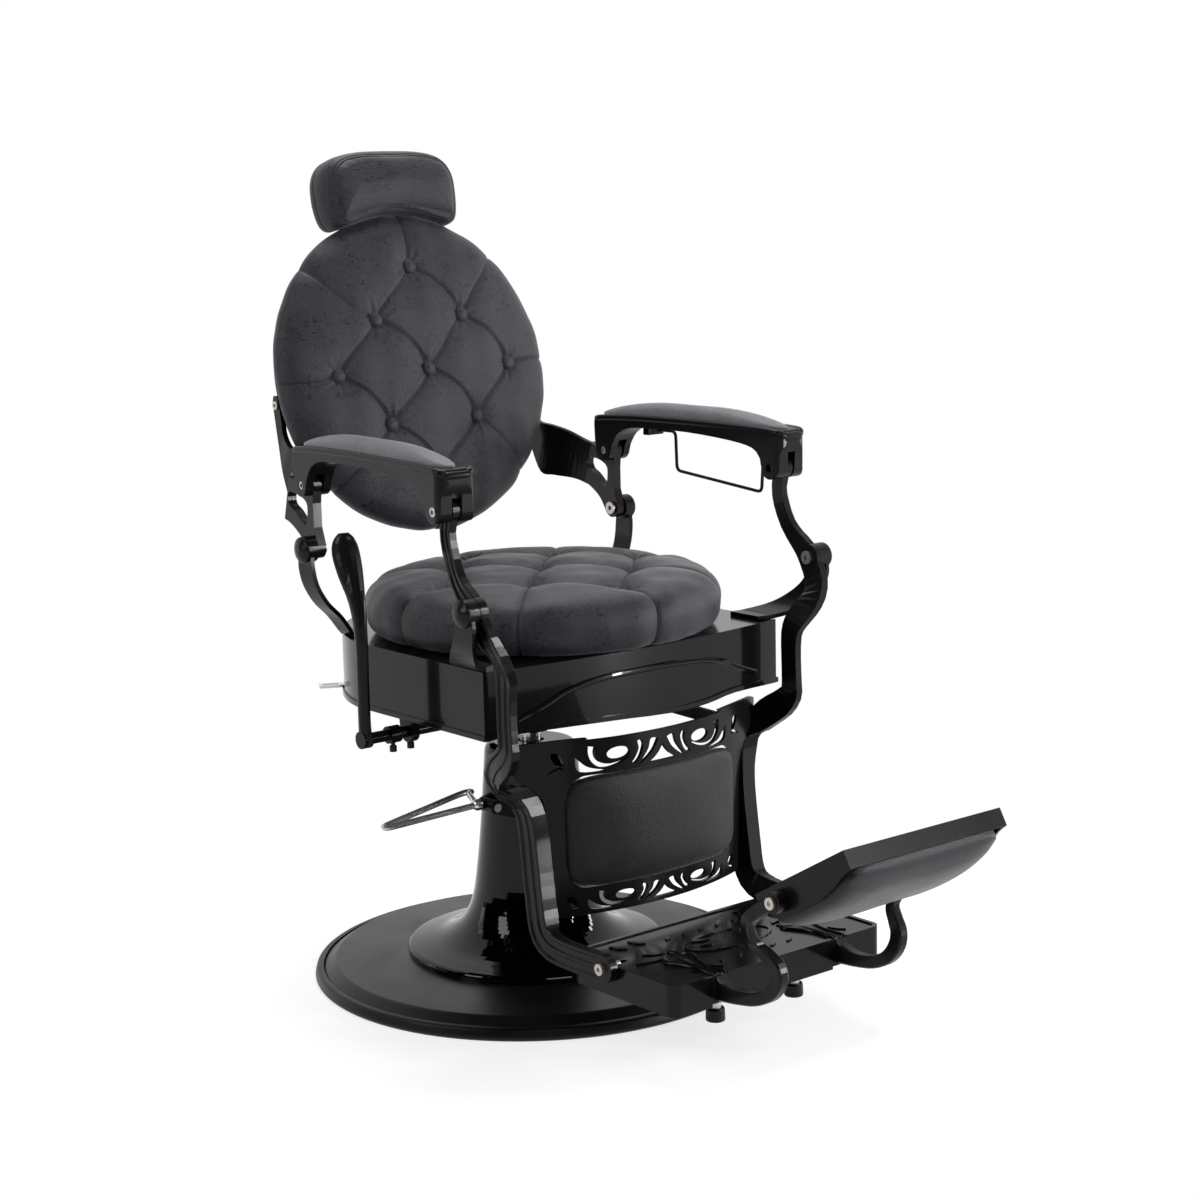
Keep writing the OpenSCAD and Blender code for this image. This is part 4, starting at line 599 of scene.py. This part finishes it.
back_profile = [[0, 70], [60, 69], [120, 65.5], [160, 61], [193, 55.5], [214, 49], [228, 40],
                [235, 31], [237, 22], [235.5, 14], [231, 7], [224, 2], [219, 0]]
back_reach = 1.55
shell_front = 24
back_surface, back_share = wrapped(back_profile, 193, back_reach)

middle, top, left, bottom, right = (0, 0), (0, 156), (-156, 0), (0, -156), (156, 0)
upper_left, upper_right, lower_left, lower_right = (-78, 78), (78, 78), (-78, -78), (78, -78)
back_wells = [middle, top, left, bottom, right, upper_left, upper_right, lower_left,
              lower_right]
# The seams that fall to the right are cut deep and lap over, the others are faint.
back_seams = [
    (bowed(top, upper_right, 13), 3.4, 1.3), (bowed(upper_right, right, 13), 3.4, 1.3),
    (bowed(upper_left, middle, 14), 3.6, 1.4), (bowed(middle, lower_right, 14), 3.6, 1.4),
    (bowed(left, lower_left, 12), 3.4, 1.3), (bowed(lower_left, bottom, 12), 3.4, 1.3),
    (bowed(upper_left, top, 2, 2), 2.4, 0.4), (bowed(middle, upper_right, 2, -2), 2.4, 0.4),
    (bowed(left, upper_left, 2, 2), 2.4, 0.4), (bowed(lower_left, middle, -2, 2), 2.4, 0.4),
    (bowed(lower_right, right, 2, 2), 2.4, 0.4), (bowed(bottom, lower_right, 2, 2), 2.4, 0.4)]
seam_end = 296
for k, well in enumerate(back_wells[1:]):
    out = seam_end / math.hypot(*well)
    edge = (well[0] * out, well[1] * out)
    if well == upper_left:
        back_seams.append((bowed(well, edge, 12, 2), 3.4, 1.2))
    else:
        back_seams.append((bowed(well, edge, (-4, 4)[k % 2], 2), 2.2, 0.5))


def back_skin(share, angle):
    point, normal, flat = back_surface(share, angle)
    rise = tufted(flat, back_seams, back_wells, sink=7.5, puff=1.6, crumple=0.45)
    point = moved_out(point, normal, rise, share, back_reach)
    return on_back(point[:, 0], shell_front - point[:, 2], point[:, 1])


backrest = stuffed("back_cushion_cover", back_skin, 280, back_reach, charcoal, "back")
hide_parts("back_cushion")
thread_piece("back_cushion_seams", seam_lines(back_skin, back_share, back_seams), dark_thread_and_painted_shade,
             "back")


# Back buttons: domed moulds covered in the leathercloth, drawn into the nine wells by
# cords through the shell. The cover gathers in a ring round each one, near black as painted
# shade.
def spun(made, line, middle, axis, steps):
    """Turns a line of points about an axis through middle."""
    points = [made.verts.new(place) for place in line]
    edges = [made.edges.new(pair) for pair in zip(points[:-1], points[1:])]
    bmesh.ops.spin(made, geom=points + edges, cent=middle, axis=axis, dvec=(0, 0, 0),
                   angle=2 * math.pi, steps=steps, use_merge=True, use_duplicate=False)


def welded(made):
    """Closes the seams and poles that spinning leaves, and turns the faces outwards."""
    bmesh.ops.remove_doubles(made, verts=made.verts, dist=1e-6)
    bmesh.ops.recalc_face_normals(made, faces=made.faces)


# [distance from the middle, height], both in mm, and how far each is lifted clear.
button_section = [(0.0, 6.8), (3.5, 6.5), (7.0, 5.5), (9.8, 3.6), (11.3, 1.2), (11.5, -1.0),
                  (10.6, -2.6)]
# The ring round each button is coloured near black: painted shade where the cover gathers.
shade_ring_section = [(11.0, 0.2), (12.0, 1.2), (13.4, 0.9), (14.4, -1.4)]
button_lift, shade_ring_lift = 3.6, 3.3
covers, rings = bmesh.new(), bmesh.new()
for x, z in back_wells:
    spot = back_skin(back_share(np.array([math.hypot(x, z)])), np.array([math.atan2(z, x)]))
    well = Vector(spot[0])
    facing = Matrix.Translation(well) @ Matrix.Rotation(math.pi / 2 - lean, 4, "X")
    for made, section, lift in ((covers, button_section, button_lift),
                                (rings, shade_ring_section, shade_ring_lift)):
        line = [facing @ Vector((r / 1000, 0, (h + lift) / 1000)) for r, h in section]
        spun(made, line, well, facing.to_3x3() @ Vector((0, 0, 1)), 40)
welded(covers)
welded(rings)
buttons = piece("back_button_covers", covers, charcoal, "back")
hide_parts("back_buttons")
# The gathered rings take the near-black thread colour, as painted shade.
piece("back_button_painted_shade_rings", rings, dark_thread_and_painted_shade, "back")


# Headrest: a foam pad with a domed face and a boxed edge, twin stitched round its face.
# A cast fork behind it tilts on a chromed bar, which a thumb knob clamps in its guide.
dress(cast_black, "headrest_bracket", "headrest_knob")

# Half of the outline, as shares of half its width and half its height.
head_shape = np.array([(0, 1), (0.42, 0.966), (0.71, 0.862), (0.88, 0.672), (0.975, 0.345),
                       (1, -0.086), (0.983, -0.51), (0.933, -0.84), (0.84, -0.97),
                       (0.714, -0.93), (0.504, -0.82), (0.252, -0.73), (0, -0.7)])
head_half_size = [119, 58.5]
half_line = curve_through(head_shape * head_half_size, 8)
ring = np.vstack([half_line, half_line[-2:0:-1] * [-1, 1]])
outline = np.vstack([ring, ring[:1]])[::2]
ring_angle = np.arctan2(ring[:, 1], ring[:, 0])
order = np.argsort(ring_angle)
ring_angle, ring_reach = ring_angle[order], np.hypot(ring[:, 0], ring[:, 1])[order]


def head_reach(angle):
    turn = (angle + math.pi) % (2 * math.pi) - math.pi
    return np.interp(turn, ring_angle, ring_reach, period=2 * math.pi)


# [share of the way out, distance in from the edge, depth]
head_profile = curve_through([[0, 60, -39.5], [0.35, 46, -38.8], [0.65, 32, -36.6],
                              [0.85, 22, -33], [1.0, 15, -27.5], [1.1, 9, -23.5],
                              [1.18, 4, -18], [1.26, 1.2, -10], [1.36, 0, 3], [1.46, 1.2, 20],
                              [1.53, 5, 30], [1.6, 14, 34]], 8)
first_stitch, second_stitch, box_seam = 1.0, 1.065, 1.42
head_height = 275.7


def head_skin(share, angle):
    reach = head_reach(angle)
    inset = np.interp(share, head_profile[:, 0], head_profile[:, 1])
    depth = np.interp(share, head_profile[:, 0], head_profile[:, 2])
    # Inside the stitches the rings change from the outline to a plain rounded box.
    box = (abs(np.cos(angle) / 116) ** 3.4 + abs(np.sin(angle) / 56) ** 3.4) ** (-1 / 3.4)
    edge = reach - 15 * reach / (reach + 8)
    inner = np.minimum(edge, box)
    within = share * (inner + (edge - inner) * np.clip(share, 0, 1) ** 3)
    out = np.where(share < 1, within, reach - inset * reach / (reach + 8))
    x, z = out * np.cos(angle), out * np.sin(angle)
    # The face domes up with the distance from the outline.
    edge_off = to_line(np.column_stack([x, z]), outline)[0]
    dome = -27.5 - 12.5 * (1 - np.exp(-np.maximum(edge_off - 12, 0) / 17))
    depth = np.where(share < 1, dome, depth - 1.5 * np.clip((1.1 - share) / 0.1, 0, 1))
    twin = 1.6 * (bell(share - first_stitch, 0.012) + bell(share - second_stitch, 0.012))
    valley = 1.6 * bell(share - 1.03, 0.06)
    uneven = 0.8 * np.sin(x / 17 + 1) * np.sin(z / 13)
    pleats = 0.22 * np.cos(46 * angle + 2 * np.sin(3 * angle)) * bell(share - 0.92, 0.05)
    pulled_in = np.where(share > 1.15, 1.2 * bell(share - box_seam, 0.012), 0)
    return on_back(x - pulled_in * np.cos(angle), depth + twin + valley - uneven - pleats,
                   z - pulled_in * np.sin(angle) + head_height)


flecked = leathercloth("distressed_charcoal_headrest_cloth", "#333439", "#07070a", "#74767f",
                       fleck=1.0, flow=(0.4, 1.0, 2.2))
head = stuffed("headrest_cushion_cover", head_skin, 240, 1.6, flecked, "headrest")
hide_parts("headrest_cushion")
around = np.linspace(-math.pi, math.pi, 241)
thread_piece("headrest_cushion_seams",
             [head_skin(np.full(len(around), share), around)
              for share in (first_stitch, second_stitch, box_seam)],
             dark_thread_and_painted_shade, "headrest", 0.0006)


# Arms: castings with a forked end each, pinned to the leg lever and the back lever. A
# slim pad in smooth leather lies in the top, and a wire towel rail hangs in two clips.
dress(cast_black, "arm_left", "arm_right", "towel_rail", "towel_clips")

# Smooth leather: coloured far lighter than the cushions, as a painted highlight for the
# grazing light along the arm tops, with a broad soft shine.
dull = leathercloth("smooth_arm_leather_painted_highlight", "#74747a", "#28282c", "#a0a0a8", fleck=0.35,
                    roughness=0.42)
arm_turn = math.radians(3.395)
arm_origin = (273, 127)
tip = -375.62
tip_round = 14


def on_arm(x, y, z, side):
    """From the arm's own frame, y along it, to the chair's; side 1 is the left arm."""
    across = arm_origin[0] + x * math.cos(arm_turn) - y * math.sin(arm_turn)
    along = arm_origin[1] + x * math.sin(arm_turn) + y * math.cos(arm_turn)
    return np.column_stack([across, along, z]) * [side, 1, 1] / 1000


def arm_half(y):
    """Half of the arm's width along it: widening forwards, with a round tip."""
    nose = tip + tip_round
    end = tip_round + np.sqrt(np.maximum(0, tip_round ** 2 - (nose - y) ** 2))
    front = 22 + 6 * (-60 - y) / (-74 - tip)
    return np.where(y > -60, 19 + 3 * (30 - y) / 90, np.where(y > nose, front, end))


pad_length, pad_start, pad_height, pad_foot, gap = 377.62, 16, 787, 780.3, 4
for side, name in ((1, "arm_pad_left"), (-1, "arm_pad_right")):
    made = bmesh.new()
    bmesh.ops.create_grid(made, x_segments=150, y_segments=40, size=1)
    flat = np.array([v.co[:2] for v in made.verts])
    u = 0.5 - 0.5 * np.cos((flat[:, 0] + 1) * math.pi / 2)
    over = (flat[:, 1] + 1) * math.pi / 2
    y = pad_start - u * pad_length
    from_middle = abs(2 * u - 1)
    taper = np.sqrt(np.maximum(0, 1 - from_middle ** 5))
    half = np.maximum(0.6, (arm_half(y) - gap) * taper)
    crown = 1 + (5 + 17 * (1 - from_middle ** 2.6)) * np.sqrt(np.maximum(0, 1 - from_middle ** 8))
    z = pad_height + crown * np.sin(over) ** 0.8
    tucked = pad_foot + (z - pad_foot) * np.sin(over) / 0.12
    z = np.where(np.sin(over) < 0.12, tucked, z) + 0.35 * np.sin(y / 23) * np.sin(over)
    for vertex, place in zip(made.verts, on_arm(half * np.cos(over), y, z, side)):
        vertex.co = place
    closed(made)
    pad = piece(name + "_cover", made, dull, name.replace("_pad", ""))
    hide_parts(name)


# Arm rims: the casting's upper edge is finished with a soft roll all round the pad,
# enamelled with the arm.
rim_radius, rim_inset, rim_corner = 5.2, 3.6, 10.4
# [distance along the arm, height of its top]
arm_top = curve_through([(-371.6, 781), (-362.6, 786), (-310, 788.5), (-190, 790), (-70, 789),
                         (8, 785), (18, 781)], 6)
for side, name in ((1, "arm_left"), (-1, "arm_right")):
    long_side = np.linspace(17, tip + 15, 60)
    corner = np.radians(np.linspace(5, 90, 9))
    x = np.concatenate([arm_half(long_side) - rim_inset,
                        tip_round + rim_corner * np.cos(corner), [0]])
    y = np.concatenate([long_side, tip + tip_round - rim_corner * np.sin(corner),
                        [tip + rim_inset]])
    x, y = np.concatenate([x, -x[-2::-1]]), np.concatenate([y, y[-2::-1]])
    z = np.interp(y, arm_top[:, 0], arm_top[:, 1]) - rim_inset
    rim = tube_along(on_arm(x, y, z, side), rim_radius / 1000, 18)
    piece(name + "_rolled_rim", rim, cast_black, name)


# Arm pivots: a steel socket screw closes the bore at each arm's outer face. Its head is
# turned, with a chamfered rim and a socket in the middle.
pivot_y, pivot_z = -0.227, 0.731
# [distance from the pivot's axis, distance from the chair's middle], in mm
screw_section = [(0, 320), (3.2, 320), (3.2, 322.7), (5.6, 323), (6.4, 322.4), (6.4, 313),
                 (0, 313)]
for side, name in ((1, "arm_left"), (-1, "arm_right")):
    made = bmesh.new()
    line = [(side * x / 1000, pivot_y + r / 1000, pivot_z) for r, x in screw_section]
    spun(made, line, (0, pivot_y, pivot_z), (1, 0, 0), 32)
    welded(made)
    screw = piece(name + "_pivot_screw", made, screw_steel, name)
    screw.data.shade_flat()


# Leg rest: two cast levers hold a bowed sheet panel with scroll cut-outs and a leather
# pad. A cast footplate with a raised tread is bolted between them.
dress(cast_black, "leg_left", "leg_right", "hook_left", "hook_right")

# Panel enamel: satin black on sheet metal, with soft wide reflections.
panel_enamel = painted("satin_black_panel_enamel", "#151316", 0.3, 5.0, 0.06, coat=0.14,
                       coat_roughness=0.14, shine=0.07)
dress(panel_enamel, "leg_panel")

# Tread enamel: sprayed thicker, its relief shows by small sharp highlights.
plate_black = painted("satin_black_tread_enamel", "#100e0f", 0.24, 2.4, 0.06, spread=0.04,
                      coat=0.25, coat_roughness=0.1, edge_mm=0.5, shine=0.06)
dress(plate_black, "footplate")

# [share of the way out, distance in from the edge, stand-off from the panel]
leg_profile = curve_through([[0, 14, 13.5], [0.5, 14, 13], [0.8, 14, 11.6], [1.0, 14, 9.6],
                             [1.14, 6, 7], [1.28, 1.5, 3.6], [1.4, 0, 0], [1.5, 0.6, -3],
                             [1.55, 1, -5]], 8)
leg_pad_half = (150, 77)
leg_pad_height = 282
panel_bow, panel_front = 432.5, -294


def leg_skin(share, angle):
    c, s = np.cos(angle), np.sin(angle)
    plan = (abs(c / leg_pad_half[0]) ** 7 + abs(s / leg_pad_half[1]) ** 7) ** (-1 / 7)
    inset = np.interp(share, leg_profile[:, 0], leg_profile[:, 1])
    out = np.where(share < 1, share * (plan - 14), plan - inset)
    x, z = out * c, out * s + leg_pad_height
    rise = np.interp(share, leg_profile[:, 0], leg_profile[:, 2])
    rise = rise + 0.6 * np.sin(x / 19) * np.sin(z / 23) * (share < 1)
    y = panel_front + panel_bow - np.sqrt((panel_bow + rise) ** 2 - x ** 2)
    return np.column_stack([x, y, z]) / 1000


# Leg pad leathercloth: a darker copy of the cushions' charcoal, its extra darkness painted shade.
leg_cloth_painted_shade = leathercloth("charcoal_leg_leathercloth_painted_shade", "#191a1d", "#060608", "#414248",
                         fleck=0.8)
pad = stuffed("leg_pad_cover", leg_skin, 190, 1.55, leg_cloth_painted_shade, "legs")
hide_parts("leg_pad")


# Hook tongues: each hook's foot spreads over the footplate as a cast leaf with a raised
# edge and midrib, enamelled with the plate.
# [distance along the chair, half of the leaf's width]
tongue_line = curve_through([(-523, 12.5), (-512, 12), (-498, 10.5), (-484, 11), (-470, 15),
                             (-456, 22), (-446, 27), (-438, 27), (-431, 21), (-424, 13),
                             (-417, 6), (-411, 1)], 4)
tongue_off, plate_top, tongue_rise = 108, 139.6, 1.4
made = bmesh.new()
for side in (-1, 1):
    spans = len(tongue_line) - 1
    leaf = bmesh.ops.create_grid(made, x_segments=20, y_segments=spans, size=1)["verts"]
    for vertex in leaf:
        y, half = tongue_line[round((vertex.co.y + 1) / 2 * spans)]
        u = vertex.co.x
        sway = 7 * max(0, (y + 490) / 80) ** 2
        ridge = 3.6 * math.exp(-((abs(u) - 0.8) / 0.17) ** 2) + 1.6 * math.exp(-(u / 0.16) ** 2)
        at_edge = abs(u) > 0.999 or y in (tongue_line[0, 0], tongue_line[-1, 0])
        height = plate_top + (0 if at_edge else tongue_rise + ridge)
        vertex.co = (side * (tongue_off - sway + u * half) / 1000, y / 1000, height / 1000)
closed(made)
piece("hook_tongues", made, plate_black, "legs")


# Step: a cast shell hinged in the hooks, with a full leather calf pad on its other face.
# It flips over towards the chair, pad up.
dress(cast_black, "step_shell")

step_pivot = (-668, 278)


def on_step(x, y, z):
    """From the step's own frame, origin on its pivot, to the chair's."""
    a, b = math.radians(60), math.radians(30)
    y, z = -(y * math.cos(a) - z * math.sin(a)), y * math.sin(a) + z * math.cos(a)
    y, z = y * math.cos(b) - z * math.sin(b), y * math.sin(b) + z * math.cos(b)
    return np.column_stack([x, y + step_pivot[0], z + step_pivot[1]]) / 1000


# [distance along the step, height of the pad's foot]
step_line = curve_through([[-41, -2], [-27, -14], [-8, -20], [30, -21.5], [66, -20],
                           [96, -14], [118, -6], [134, -3]], 6)
step_half, step_start, step_half_length, shell_floor = 132.7, -36.7, 83.2, 16.7


def step_skin(share, angle):
    c, s = np.cos(angle), np.sin(angle)
    plan = (abs(c) ** 9 + abs(s) ** 9) ** (-1 / 9) * np.minimum(share, 1.0)
    u, v = plan * c, plan * s
    along = step_start + step_half_length * (v + 1)
    swell = ((2 + 18 * np.sqrt(np.maximum(0, 1 - abs(u) ** 5)))
             * np.sqrt(np.maximum(0, 1.01 - abs(v) ** 6)))
    swell = swell + 0.7 * np.sin(u * 5) * np.sin(v * 4)
    z = np.interp(along, step_line[:, 0], step_line[:, 1]) - np.maximum(swell, 0)
    z = z + (shell_floor - z) * np.clip((share - 1) / 0.2, 0, 1)
    return on_step(u * step_half, along, z)


# Calf pad leather: darker and smoother than the cushions, worn to a low shine.
dull_step = leathercloth("smooth_dull_step_leather", "#2d2d32", "#0e0e10", "#55565e",
                         fleck=0.4, roughness=0.44)
step_cover = stuffed("step_pad_cover", step_skin, 150, 1.2, dull_step, "step")
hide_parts("step_pad")


# Recline gear: the paddle handle's cross shaft hangs in two plates under the tray. Its
# clamp grips the flat lock bar that runs back from the leg panel.
dress(cast_black, "shaft_hangers", "handle_shaft", "recline_handle", "lock_clamp", "lock_bar")

# Blackened steel: oil-dipped set screws, dark, with a thin glint on their edges.
black_screw = painted("blackened_screw_steel", "#1d1c1d", 0.34, 1.2, 0.05, edge_mm=0.5)
dress(black_screw, "collar_screw", "hanger_screw")
